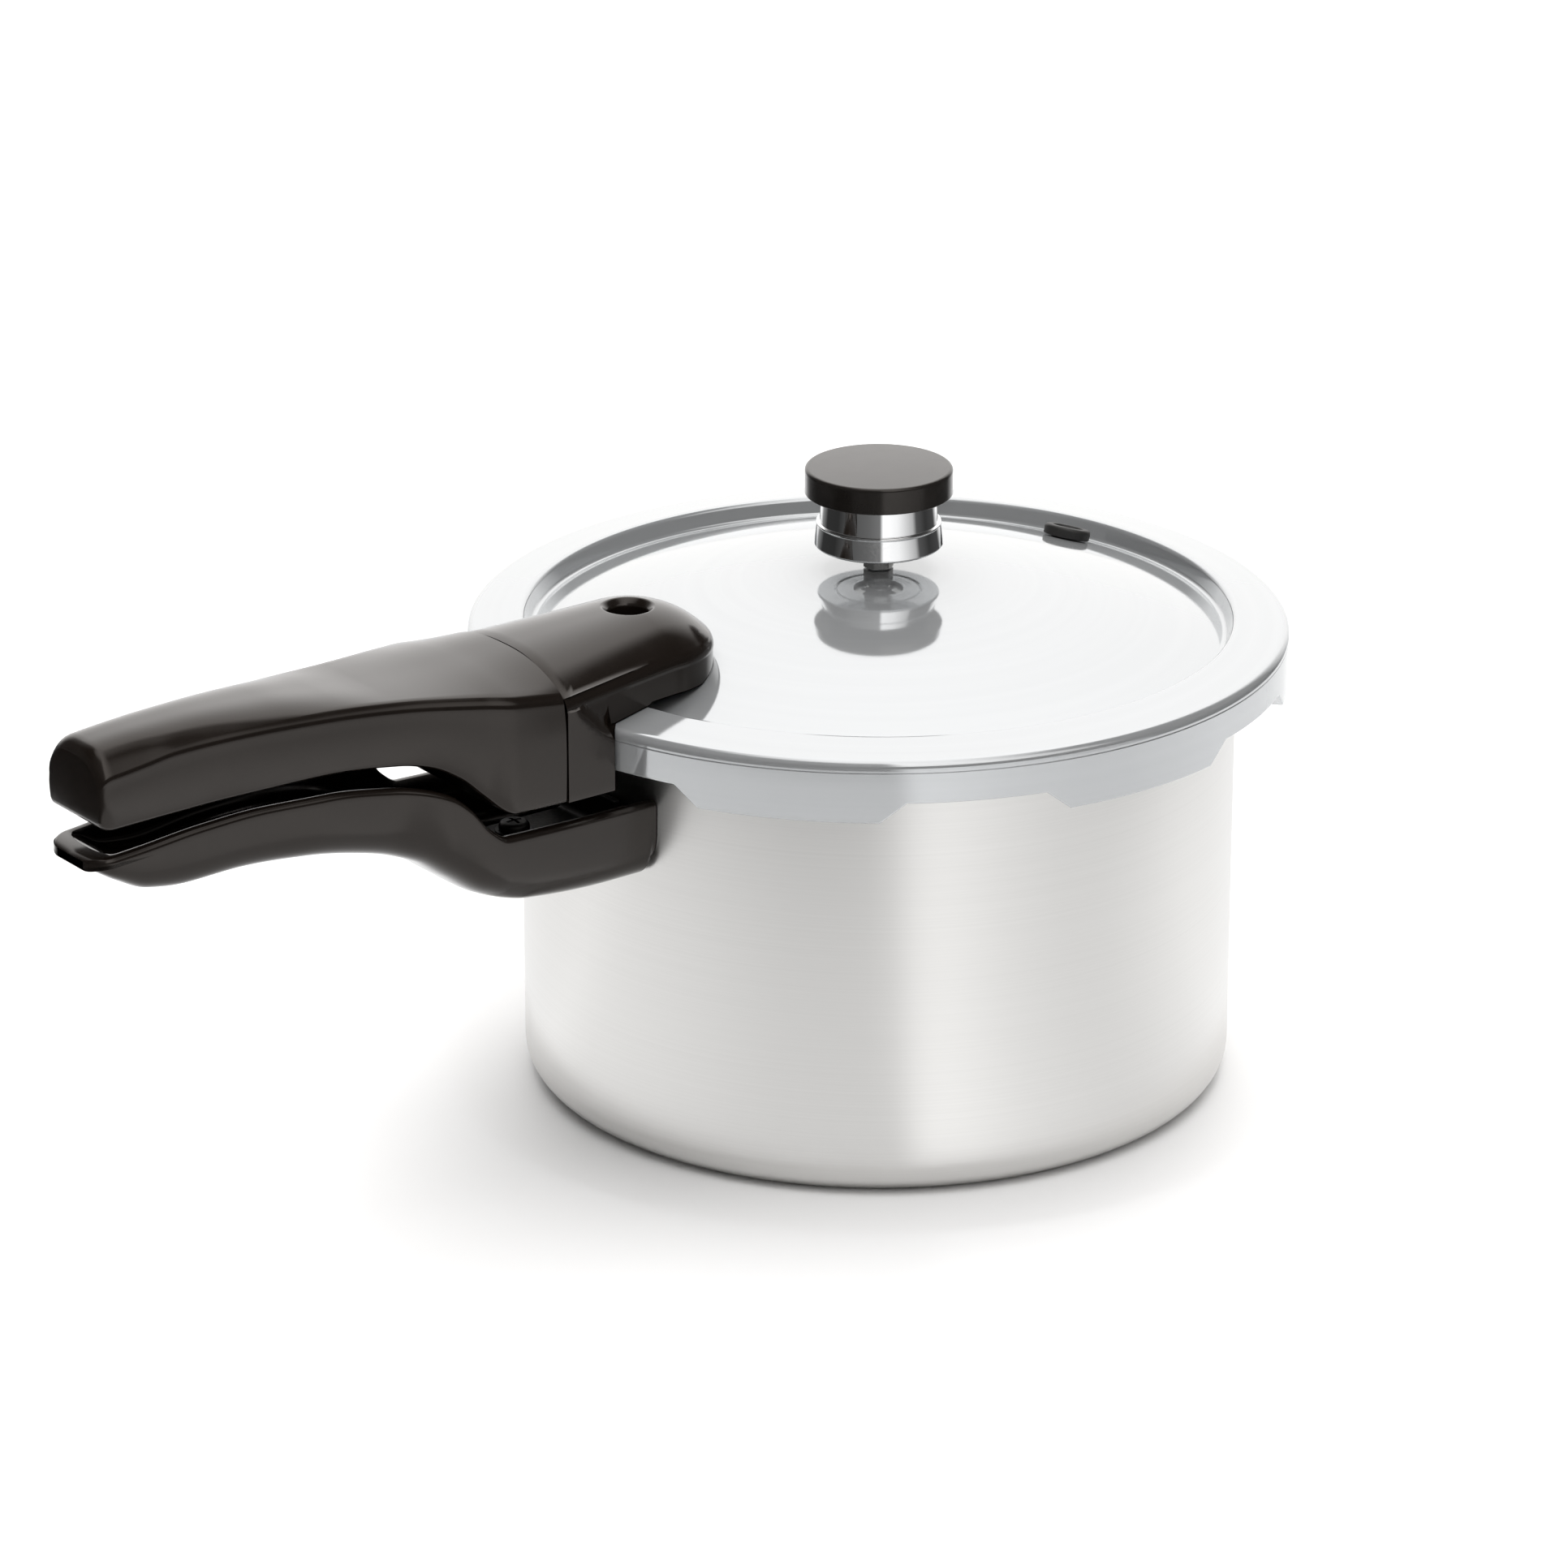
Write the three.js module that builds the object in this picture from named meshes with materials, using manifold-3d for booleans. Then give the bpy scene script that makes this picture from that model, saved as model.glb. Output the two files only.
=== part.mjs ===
// A four-quart stovetop pressure cooker: drawn aluminium pot and domed cover that lock with a
// bayonet of lugs, a weighted pressure regulator on a vent pipe, and two moulded phenolic handles.
// Millimetres, +Z up. The origin is the centre of the flat base. Everything is built with the
// handles along +X, then the whole cooker is turned half a turn, so that they point along -X.

import * as THREE from 'three';
import { mergeVertices } from 'three/addons/utils/BufferGeometryUtils.js';
import Module from 'manifold-3d';

const wasm = await Module();
wasm.setup();

// ---------------------------------------------------------------- driving dimensions

// Clearances
const GAP = 0.3; // between pieces that rest on each other
const RUN = 0.6; // between pieces that turn past each other
const ROUND = 56; // facets round the pot and the cover, a multiple of the lug count

// Pot
const POT_INNER_RADIUS = 100;
const POT_HEIGHT = 128.3; // base to sealing rim
const POT_WALL = 3;
const POT_FLOOR = 4;
const POT_CORNER = 9; // outer radius of the bottom edge
const FLANGE_REACH = 6.4; // sealing rim, out from the wall
const FLANGE_THICK = 3.8;

// Bayonet
const LUG_COUNT = 7;
const LUG_PHASE = 40; // degrees from the handle to the nearest whole cover lug
const BODY_LUG_ANGLE = 22;
const COVER_LUG_ANGLE = 25;
const BODY_LUG_REACH = 5; // out from the sealing rim
const BODY_LUG_THICK = 3; // below the sealing rim
const LIP_THICK = 2.5; // inward lip of a cover lug
const LUG_DROP = 5.7; // cover lug below the plain edge of the skirt
const LUG_CHAMFER = 6; // run of the slope from skirt edge to lug

// Cover and its sealing ring
const COVER_THICK = 3;
const RIM_SLOPE = 2.2; // inner edge of the rim above its outer edge
const RECESS_DEPTH = 5.9; // inner edge of the rim down to the edge of the dome
const RECESS_DRAFT = 2; // lean of the recess wall
const RECESS_LAND = 3; // foot of the recess wall inside the cover, out from its outer face
const DOME_RISE = 18.8;
const SEAL_HEIGHT = 4.5;
const SEAL_LIP = 1.4;

// Fittings on the cover
const VENT_INSET = 11.5; // air vent, in from the recess wall
const VENT_RISE = 4; // travel of the air vent pin
const PLUG_INSET = 14; // overpressure plug, in from the recess wall
const PLUG_AZIMUTH = 192; // degrees round from the handle
const PLUG_RADIUS = 6.85;
const PLUG_PROUD = 3.5;
const PLUG_NECK = 4.4;
const PIPE_BORE = 1.3;
const PIPE_SHANK = 3;
const PIPE_HEX = 7.7; // across flats
const PIPE_HEX_HEIGHT = 7.5;

// Pressure regulator, heights above the dome
const WEIGHT_RADIUS = 18.8;
const WEIGHT_BOTTOM = 8;
const WEIGHT_RIDGE = 15.6;
const WEIGHT_TOP = 23.1;
const NEEDLE_TIP = 19.9;
const NEEDLE_RADIUS = 2;
const CAP_RADIUS = 21;
const CAP_HEIGHT = 6.6;

// Handles
const NOSE_RADIUS = 24; // round end of the cover handle, centred on the air vent
const SEAM_REACH = 13; // skirt to the seam between the two mouldings
const SEAM_HALF_WIDTH = 30;
const CROWN_HEIGHT = 20.9; // rim to the highest point of the front moulding
const WINDOW_RADIUS = 5.5;
const TROUGH_WALL = 3.2;
const TROUGH_FLOOR = 5.5;
const SCREW_RADIUS = 2;
const SCREW_HEAD_RADIUS = 4.5;
const SCREW_HEAD_HEIGHT = 2.4;

// Cooking rack
const RACK_SIDE_GAP = 8; // rack edge in from the pot wall
const RACK_HEIGHT = 8;
const RACK_SHEET = 1.5;
const RACK_HOLE_RADIUS = 6;

// ---------------------------------------------------------------- sizes that follow

const WALL_RADIUS = POT_INNER_RADIUS + POT_WALL;
const FLANGE_RADIUS = WALL_RADIUS + FLANGE_REACH;
const BODY_LUG_RADIUS = FLANGE_RADIUS + BODY_LUG_REACH;
const SKIRT_INNER = BODY_LUG_RADIUS + RUN;
const SKIRT_OUTER = SKIRT_INNER + COVER_THICK;
const LIP_INNER = FLANGE_RADIUS + RUN;
const RECESS_RADIUS = POT_INNER_RADIUS;
const RIM_INNER = RECESS_RADIUS + RECESS_DRAFT;

const FLANGE_Z = POT_HEIGHT - FLANGE_THICK;
const BODY_LUG_Z = FLANGE_Z - BODY_LUG_THICK;
const LIP_Z = BODY_LUG_Z - GAP - LIP_THICK;
const SKIRT_EDGE_Z = LIP_Z + LUG_DROP;
const SEAL_Z = POT_HEIGHT + GAP;
const RIM_Z = SEAL_Z + SEAL_HEIGHT + GAP + COVER_THICK; // outer edge of the rim
const RIM_INNER_Z = RIM_Z + RIM_SLOPE;
const DOME_EDGE_Z = RIM_INNER_Z - RECESS_DEPTH;
const DOME_TOP_Z = DOME_EDGE_Z + DOME_RISE;
const DOME_RADIUS = (RECESS_RADIUS ** 2 + DOME_RISE ** 2) / (2 * DOME_RISE);

const VENT_RADIUS = RECESS_RADIUS - VENT_INSET;
const PLUG_PLACE = RECESS_RADIUS - PLUG_INSET;
const SEAM = SKIRT_OUTER + SEAM_REACH;

// ---------------------------------------------------------------- shaping tools

const FINISHES = {
  satinAluminium: { color: 0xd6d5d1, roughness: 0.34, metalness: 1 },
  polishedAluminium: { color: 0xe9ebec, roughness: 0.08, metalness: 1 },
  chrome: { color: 0xd9dbdd, roughness: 0.05, metalness: 1 },
  steel: { color: 0xa9abad, roughness: 0.3, metalness: 1 },
  phenolic: { color: 0x2b2725, roughness: 0.28, metalness: 0 },
  rubber: { color: 0x1c1c1c, roughness: 0.7, metalness: 0 },
};

/** One named sub-part with a material of its own. */
function part(name, finish, geometry) {
  const mesh = new THREE.Mesh(geometry, new THREE.MeshStandardMaterial(FINISHES[finish]));
  mesh.name = name;
  return mesh;
}

/** A closed three.js geometry as a solid that can be joined and cut. */
function solid(geometry) {
  const bare = geometry.clone();
  bare.deleteAttribute('normal');
  bare.deleteAttribute('uv');
  const welded = mergeVertices(bare, 1e-5);
  const corners = welded.index.array;
  const kept = [];
  for (let i = 0; i < corners.length; i += 3) {
    const [a, b, c] = corners.subarray(i, i + 3);
    if (a !== b && b !== c && c !== a) kept.push(a, b, c);
  }
  const vertProperties = welded.attributes.position.array;
  return new wasm.Manifold(new wasm.Mesh({ numProp: 3, vertProperties, triVerts: new Uint32Array(kept) }));
}

/** A joined or cut solid as a three.js geometry again. */
function shape(body) {
  const mesh = body.getMesh();
  const geometry = new THREE.BufferGeometry();
  geometry.setAttribute('position', new THREE.BufferAttribute(mesh.vertProperties, 3));
  geometry.setIndex(new THREE.BufferAttribute(mesh.triVerts, 1));
  geometry.computeVertexNormals();
  return geometry;
}

/** A solid turned round Z from [radius, height] points, given in either direction. */
function turned(points, facets = ROUND) {
  let area = 0;
  points.forEach(([r, z], i) => {
    const [nextR, nextZ] = points[(i + 1) % points.length];
    area += r * nextZ - nextR * z;
  });
  const ordered = area > 0 ? [...points] : [...points].reverse();
  if (points.every(([r]) => r > 0)) ordered.push(ordered[0]);
  const geometry = new THREE.LatheGeometry(ordered.map(([r, z]) => new THREE.Vector2(r, z)), facets);
  return solid(geometry.rotateX(Math.PI / 2));
}

/** An upright cylinder or prism round the point (x, y), from z0 to z1. */
function post(radius, z0, z1, x = 0, y = 0, sides = 20) {
  const geometry = new THREE.CylinderGeometry(radius, radius, z1 - z0, sides);
  return solid(geometry.rotateX(Math.PI / 2).translate(x, y, (z0 + z1) / 2));
}

/** A block between two corners. */
function block([x0, y0, z0], [x1, y1, z1]) {
  const geometry = new THREE.BoxGeometry(x1 - x0, y1 - y0, z1 - z0);
  return solid(geometry.translate((x0 + x1) / 2, (y0 + y1) / 2, (z0 + z1) / 2));
}

/** A plan outline in (x, y), raised from z0 to z1. */
function raised(outline, z0, z1) {
  const geometry = new THREE.ExtrudeGeometry(outline, { depth: z1 - z0, bevelEnabled: false, curveSegments: 12 });
  return solid(geometry.translate(0, 0, z0));
}

/** A side outline in (x, z), as wide as width and centred on y = 0. */
function upright(outline, width) {
  const geometry = new THREE.ExtrudeGeometry(outline, { depth: width, bevelEnabled: false });
  return solid(geometry.rotateX(Math.PI / 2).translate(0, width / 2, 0));
}

/** [x, y] pairs moved by (dx, dy), as vectors. */
function shifted(points, dx, dy) {
  return points.map(([x, y]) => new THREE.Vector2(x + dx, y + dy));
}

/** A smooth curve through the points, in the given number of steps. */
function smooth(points, steps) {
  return new THREE.SplineCurve(points).getPoints(steps);
}

/** Points of an arc in (radius, height), between two angles in degrees. */
function arc(centreR, centreZ, radius, from, to, steps) {
  return Array.from({ length: steps + 1 }, (_, i) => {
    const angle = THREE.MathUtils.degToRad(from + ((to - from) * i) / steps);
    return [centreR + radius * Math.cos(angle), centreZ + radius * Math.sin(angle)];
  });
}

/** Height of the dome's outer face at a radius. */
function domeZ(radius) {
  return DOME_TOP_Z - DOME_RADIUS + Math.sqrt(DOME_RADIUS ** 2 - radius ** 2);
}

/** [radius, height] points along the dome, moved down by drop. */
function domeLine(fromRadius, toRadius, drop, steps = 7) {
  return Array.from({ length: steps + 1 }, (_, i) => {
    const radius = fromRadius + ((toRadius - fromRadius) * i) / steps;
    return [radius, domeZ(radius) - drop];
  });
}

/** Runs make(angle) for each lug, angle in radians. */
function eachLug(make) {
  const pitch = 360 / LUG_COUNT;
  return Array.from({ length: LUG_COUNT }, (_, i) => make(THREE.MathUtils.degToRad(LUG_PHASE + i * pitch)));
}

/** A pan-head screw with its shank along +Z from the head's underside at z = 0. */
function screw(length) {
  const head = SCREW_HEAD_RADIUS;
  return shape(turned([
    [0, -SCREW_HEAD_HEIGHT], [head - 1, -SCREW_HEAD_HEIGHT], [head, -SCREW_HEAD_HEIGHT / 2], [head, 0],
    [SCREW_RADIUS, 0], [SCREW_RADIUS, length - 1], [SCREW_RADIUS - 1, length], [0, length],
  ], 12));
}

/** A flat washer standing on z = 0. */
function washer(inner, outer, thick) {
  return shape(turned([[inner, 0], [outer, 0], [outer, thick], [inner, thick]], 16));
}

// ---------------------------------------------------------------- pot

/** Drawn pot with a rounded bottom edge, an outward sealing rim and lugs under the rim. */
function potBody() {
  const inner = POT_INNER_RADIUS;
  const cornerCentre = WALL_RADIUS - POT_CORNER;
  const innerCorner = Math.max(POT_CORNER - POT_WALL, 1);
  const neck = 2.5; // height of the slope under the sealing rim
  const shell = turned([
    [0, 0],
    ...arc(cornerCentre, POT_CORNER, POT_CORNER, -90, 0, 4),
    [WALL_RADIUS, FLANGE_Z - neck],
    [FLANGE_RADIUS - 0.6, FLANGE_Z], [FLANGE_RADIUS, FLANGE_Z + 0.6],
    [FLANGE_RADIUS, POT_HEIGHT - 0.6], [FLANGE_RADIUS - 0.6, POT_HEIGHT],
    [inner, POT_HEIGHT],
    ...arc(inner - innerCorner, POT_FLOOR + innerCorner, innerCorner, 0, -90, 4),
    [0, POT_FLOOR],
  ]);
  const half = THREE.MathUtils.degToRad(BODY_LUG_ANGLE / 2);
  const lugs = eachLug((angle) => {
    const outline = new THREE.Shape();
    outline.absarc(0, 0, BODY_LUG_RADIUS, angle - half, angle + half, false);
    outline.absarc(0, 0, WALL_RADIUS - POT_WALL / 2, angle + half, angle - half, true);
    return raised(outline, BODY_LUG_Z, FLANGE_Z + 1);
  });
  return part('pot_body', 'satinAluminium', shape(lugs.reduce((pot, lug) => pot.add(lug), shell)));
}

// Bracket and handle of the pot: places along the handle are measured from the pot wall, and
// heights from the sealing rim.
const TONGUE_Z = POT_HEIGHT - 30.3; // underside of the bracket's tongue
const TONGUE_THICK = 2;
const BODY_SCREW_X = WALL_RADIUS + 25;
const BODY_SCREW_LENGTH = 9;
const BODY_SCREW_Z = TONGUE_Z + TONGUE_THICK + 2 * GAP + 1; // underside of the head, on its washer
const BODY_HANDLE_RIM = [
  [-9, -16.8], [20, -16.5], [46, -15.8], [52, -12], [57.5, -5.1], [63, -0.7], [71, 2.2], [79, 3.7],
  [98, 5.7], [116, 5.7], [135, 4.4], [153, 2.1], [168, 0],
];
const BODY_HANDLE_KEEL = [
  [168, -1], [160, -6.3], [151, -11.3], [140, -13], [122, -11.8], [103, -12.8], [84, -16.3],
  [70, -21.3], [61.5, -27.3], [52, -33.9], [37, -38.8], [11, -40.7], [-9, -40.7],
];
const BODY_HANDLE_HALF_WIDTHS = [
  [-9, 28], [47, 29], [63, 26], [79, 21.5], [98, 19.5], [116, 17], [135, 15], [153, 13.5], [163, 10],
];

/** Steel bracket welded to the pot wall, with a tongue that reaches into the handle. */
function handleBracket() {
  const face = WALL_RADIUS + GAP;
  const plate = block([face, -16, TONGUE_Z - 3], [face + TONGUE_THICK, 16, TONGUE_Z + 11]);
  const tongue = block([face, -9, TONGUE_Z], [BODY_SCREW_X + 8, 9, TONGUE_Z + TONGUE_THICK]);
  const hole = post(SCREW_RADIUS + GAP, TONGUE_Z - 1, TONGUE_Z + TONGUE_THICK + 1, BODY_SCREW_X);
  return part('handle_bracket', 'steel', shape(plate.add(tongue).subtract(hole)));
}

/** Symmetric plan outline from [place, half width] points, with a rounded outer end. */
function planOutline(halfWidths, origin, inset, endPlace) {
  const side = smooth(shifted(halfWidths, origin, -inset), 22);
  const tip = new THREE.Vector2(endPlace + origin - inset, 0);
  const lower = side.map((point) => new THREE.Vector2(point.x, -point.y));
  return new THREE.Shape([...side, tip, ...lower.reverse()]);
}

/** Lower handle: an open trough that is screwed up to the bracket's tongue. */
function bodyHandle() {
  const x = WALL_RADIUS;
  const z = POT_HEIGHT;
  const rim = smooth(shifted(BODY_HANDLE_RIM, x, z), 26);
  const keel = smooth(shifted(BODY_HANDLE_KEEL, x, z), 26);
  const outer = upright(new THREE.Shape([...rim, ...keel]), 80);
  const plan = raised(planOutline(BODY_HANDLE_HALF_WIDTHS, x, 0, 168), 0, z + 40);
  const floor = smooth(shifted(BODY_HANDLE_KEEL.slice(2), x, z + TROUGH_FLOOR), 22);
  const above = new THREE.Vector2(x - 9, z + 60);
  const hollow = upright(new THREE.Shape([...floor, above, new THREE.Vector2(x + 157, z + 60)]), 80)
    .intersect(raised(planOutline(BODY_HANDLE_HALF_WIDTHS, x, TROUGH_WALL, 162), 0, z + 60));
  const boss = post(6, z - 38, TONGUE_Z - GAP, BODY_SCREW_X);
  const thread = post(SCREW_RADIUS + GAP, BODY_SCREW_Z - BODY_SCREW_LENGTH - GAP, TONGUE_Z + 1, BODY_SCREW_X);
  const pot = post(WALL_RADIUS + GAP, 0, z, 0, 0, ROUND);
  const body = outer.intersect(plan).subtract(hollow).add(boss).subtract(thread).subtract(pot);
  return part('body_handle', 'phenolic', shape(body));
}

/** Washer and screw that hold the lower handle, driven from above. */
function bodyHandleFasteners() {
  const ring = part('body_handle_washer', 'steel', washer(SCREW_RADIUS + GAP, 5.5, 1));
  ring.position.set(BODY_SCREW_X, 0, TONGUE_Z + TONGUE_THICK + GAP);
  const bolt = part('body_handle_screw', 'steel', screw(BODY_SCREW_LENGTH));
  bolt.rotation.x = Math.PI;
  bolt.position.set(BODY_SCREW_X, 0, BODY_SCREW_Z);
  return [ring, bolt];
}

/** Perforated rack that keeps food above the water, resting on its folded edge. */
function cookingRack() {
  const radius = POT_INNER_RADIUS - RACK_SIDE_GAP;
  const base = POT_FLOOR + GAP;
  const top = base + RACK_HEIGHT;
  let rack = turned([
    [0, top - RACK_SHEET], [radius - RACK_SHEET, top - RACK_SHEET], [radius - RACK_SHEET, base],
    [radius, base], [radius, top - 0.8], [radius - 0.8, top], [0, top],
  ], 40);
  const rings = [[0, 1], [0.36, 6], [0.74, 12]]; // share of the radius, number of holes
  for (const [share, count] of rings) {
    for (let i = 0; i < count; i += 1) {
      const angle = (2 * Math.PI * i) / count;
      const x = share * radius * Math.cos(angle);
      const y = share * radius * Math.sin(angle);
      rack = rack.subtract(post(RACK_HOLE_RADIUS, base, top + 1, x, y, 8));
    }
  }
  return part('cooking_rack', 'satinAluminium', shape(rack));
}

// ---------------------------------------------------------------- cover

/** The outer form of the cover grown by a clearance, to cut what sits against it. */
function coverEnvelope(clearance) {
  return turned([
    [0, LIP_Z - 20],
    [SKIRT_OUTER + clearance, LIP_Z - 20],
    [SKIRT_OUTER + clearance, RIM_Z + clearance],
    [RIM_INNER - clearance, RIM_INNER_Z + clearance],
    [RECESS_RADIUS - clearance, DOME_EDGE_Z + clearance],
    ...domeLine(RECESS_RADIUS - 1, 0, -clearance),
  ]);
}

/** The frame of the overpressure plug: on the dome, with its Z along the dome's normal. */
function plugFrame() {
  const azimuth = THREE.MathUtils.degToRad(PLUG_AZIMUTH);
  const frame = new THREE.Group();
  frame.rotation.order = 'ZYX';
  frame.rotation.z = azimuth;
  frame.rotation.y = Math.asin(PLUG_PLACE / DOME_RADIUS);
  frame.position.set(PLUG_PLACE * Math.cos(azimuth), PLUG_PLACE * Math.sin(azimuth), domeZ(PLUG_PLACE));
  frame.updateMatrix();
  return frame;
}

// Air vent: heights follow from the lock bracket below it and the dome above it.
const SHELF_Z = POT_HEIGHT - 5.3; // underside of the lock bracket's shelf
const SHELF_THICK = 1.5;
const VENT_SHANK = 1.5;
const VENT_COLLAR = 3.4;
const VENT_HEAD = 3.6;
const GASKET_Z = SHELF_Z + SHELF_THICK + 0.4;
const GASKET_THICK = 2;
const CUP_RADIUS = 6;
const CUP_Z = GASKET_Z + GASKET_THICK + VENT_RISE + GAP;
const CUP_TOP_Z = domeZ(VENT_RADIUS - CUP_RADIUS) + 2.9;
const FRONT_SCREW_X = VENT_RADIUS - 15;

/** Pressed cover: dome, recess wall, raised rim and a skirt cut into lugs. */
function cover() {
  const t = COVER_THICK;
  const bore = PIPE_SHANK + GAP;
  const lean = RIM_SLOPE / (SKIRT_OUTER - RIM_INNER); // slope of the rim
  const shell = turned([
    ...domeLine(bore, RECESS_RADIUS, 0),
    [RIM_INNER, RIM_INNER_Z],
    [SKIRT_OUTER - 1.5, RIM_Z + 1.5 * lean], [SKIRT_OUTER, RIM_Z - 1.5],
    [SKIRT_OUTER, LIP_Z], [LIP_INNER, LIP_Z], [LIP_INNER, LIP_Z + LIP_THICK],
    [SKIRT_INNER, LIP_Z + LIP_THICK],
    [SKIRT_INNER, RIM_Z - t], [RIM_INNER + t, RIM_INNER_Z - t],
    ...domeLine(RECESS_RADIUS + RECESS_LAND, bore, t),
  ]);
  const pitch = (2 * Math.PI) / LUG_COUNT;
  const gapHalf = SKIRT_OUTER * (pitch / 2 - THREE.MathUtils.degToRad(COVER_LUG_ANGLE / 2));
  const below = LIP_Z - 2;
  const cutter = new THREE.Shape([
    new THREE.Vector2(-gapHalf, below), new THREE.Vector2(gapHalf, below),
    new THREE.Vector2(gapHalf, LIP_Z), new THREE.Vector2(gapHalf - LUG_CHAMFER, SKIRT_EDGE_Z),
    new THREE.Vector2(LUG_CHAMFER - gapHalf, SKIRT_EDGE_Z), new THREE.Vector2(-gapHalf, LIP_Z),
  ]);
  const depth = 20;
  const gaps = eachLug((angle) => {
    const geometry = new THREE.ExtrudeGeometry(cutter, { depth, bevelEnabled: false });
    geometry.rotateX(Math.PI / 2).rotateZ(Math.PI / 2);
    geometry.translate(LIP_INNER - 3, 0, 0).rotateZ(angle + pitch / 2);
    return solid(geometry);
  });
  const plug = new THREE.CylinderGeometry(PLUG_NECK + GAP, PLUG_NECK + GAP, 20, 20).rotateX(Math.PI / 2);
  const holes = [
    solid(plug.applyMatrix4(plugFrame().matrix)),
    post(CUP_RADIUS + GAP, DOME_EDGE_Z - 10, DOME_TOP_Z, VENT_RADIUS),
    post(SCREW_RADIUS + GAP, DOME_EDGE_Z - 10, DOME_TOP_Z, FRONT_SCREW_X),
  ];
  return part('cover', 'polishedAluminium', shape([...gaps, ...holes].reduce((all, cut) => all.subtract(cut), shell)));
}

/** Rubber ring of C section that seals between the pot's rim and the cover. */
function sealingRing() {
  const inner = RIM_INNER + COVER_THICK + RUN;
  const outer = SKIRT_INNER - 0.5;
  const top = SEAL_Z + SEAL_HEIGHT;
  const web = outer - 3;
  return part('sealing_ring', 'rubber', shape(turned([
    [inner, SEAL_Z], [outer, SEAL_Z], [outer, top], [inner, top],
    [inner, top - SEAL_LIP], [web, top - SEAL_LIP], [web, SEAL_Z + SEAL_LIP], [inner, SEAL_Z + SEAL_LIP],
  ])));
}

/** Rubber plug that blows out of the cover if the vent pipe is blocked. */
function overpressurePlug() {
  const under = -COVER_THICK - 0.5;
  const plug = part('overpressure_plug', 'rubber', shape(turned([
    [0, under - 2.5], [PLUG_RADIUS - 1.5, under - 2.5], [PLUG_RADIUS - 0.5, under], [PLUG_NECK, under],
    [PLUG_NECK, 0.4], [PLUG_RADIUS, 0.4], [PLUG_RADIUS, PLUG_PROUD - 1], [PLUG_RADIUS - 1, PLUG_PROUD],
    [0, PLUG_PROUD],
  ], 20)));
  const frame = plugFrame();
  frame.add(plug);
  return frame;
}

/** Vent pipe in the middle of the dome, with the washer and nut that hold it from below. */
function ventPipe() {
  const seat = DOME_TOP_Z + GAP;
  const under = DOME_TOP_Z - COVER_THICK - GAP;
  const washerThick = 1.2;
  const nutHeight = 3.5;
  const hexCorner = PIPE_HEX / Math.sqrt(3);
  const hex = post(hexCorner, seat, seat + PIPE_HEX_HEIGHT, 0, 0, 6);
  const shank = post(PIPE_SHANK, under - washerThick - nutHeight - 2, seat + 1);
  const spout = turned([
    [0, seat], [PIPE_SHANK - 0.4, seat], [PIPE_SHANK - 0.4, DOME_TOP_Z + NEEDLE_TIP - 1.5],
    [PIPE_BORE + 0.5, DOME_TOP_Z + NEEDLE_TIP - GAP], [0, DOME_TOP_Z + NEEDLE_TIP - GAP],
  ], 24);
  const bore = post(PIPE_BORE, under - 20, DOME_TOP_Z + NEEDLE_TIP + 1, 0, 0, 12);
  const pipe = part('vent_pipe', 'steel', shape(hex.add(shank).add(spout).subtract(bore)));
  const ring = part('vent_pipe_washer', 'steel', washer(PIPE_SHANK + GAP, 6.5, washerThick));
  ring.position.z = under - washerThick;
  const nutTop = under - washerThick - GAP;
  const hole = post(PIPE_SHANK + GAP, nutTop - 10, nutTop + 1);
  const nut = part('vent_pipe_nut', 'steel', shape(post(6, nutTop - nutHeight, nutTop, 0, 0, 6).subtract(hole)));
  return [pipe, ring, nut];
}

/** Air vent: the pin that rises under pressure, its gasket, and the metal cup it slides in. */
function airVent() {
  const pin = part('air_vent_pin', 'steel', shape(turned([
    [0, SHELF_Z - 4.5], [VENT_COLLAR, SHELF_Z - 4.5], [VENT_COLLAR, SHELF_Z - 0.5],
    [VENT_SHANK + 0.5, SHELF_Z - 0.5], [VENT_SHANK + 0.5, GASKET_Z - GAP], [VENT_SHANK, GASKET_Z - GAP],
    [VENT_SHANK, CUP_TOP_Z + GAP], [VENT_HEAD, CUP_TOP_Z + GAP], [VENT_HEAD, CUP_TOP_Z + 6.5],
    [VENT_HEAD - 1, CUP_TOP_Z + 7.3], [0, CUP_TOP_Z + 7.3],
  ], 16)));
  const gasket = part('air_vent_gasket', 'rubber', washer(VENT_SHANK + GAP, 4.4, GASKET_THICK));
  gasket.position.z = GASKET_Z;
  const cup = part('air_vent_cup', 'steel', washer(VENT_SHANK + RUN, CUP_RADIUS, CUP_TOP_Z - CUP_Z));
  cup.position.z = CUP_Z;
  for (const mesh of [pin, gasket, cup]) mesh.position.x = VENT_RADIUS;
  return [pin, gasket, cup];
}

/** Bracket inside the pot with a keyhole slot: the raised vent pin can't leave it sideways. */
function lockBracket() {
  const back = POT_INNER_RADIUS - 0.8;
  const plateZ = SHELF_Z - 14;
  const plate = block([back - SHELF_THICK, -7, plateZ], [back, 7, SHELF_Z + SHELF_THICK]);
  const shelf = block([VENT_RADIUS - 6, -7, SHELF_Z], [back, 7, SHELF_Z + SHELF_THICK]);
  const keyhole = post(VENT_COLLAR + RUN, SHELF_Z - 1, SHELF_Z + 5, VENT_RADIUS);
  const slotHalf = VENT_SHANK + 0.5 + RUN;
  const slot = block([VENT_RADIUS - slotHalf, 0, SHELF_Z - 1], [VENT_RADIUS + slotHalf, 8, SHELF_Z + 5]);
  return part('lock_bracket', 'steel', shape(plate.add(shelf).subtract(keyhole).subtract(slot)));
}

// ---------------------------------------------------------------- cover handle

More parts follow.
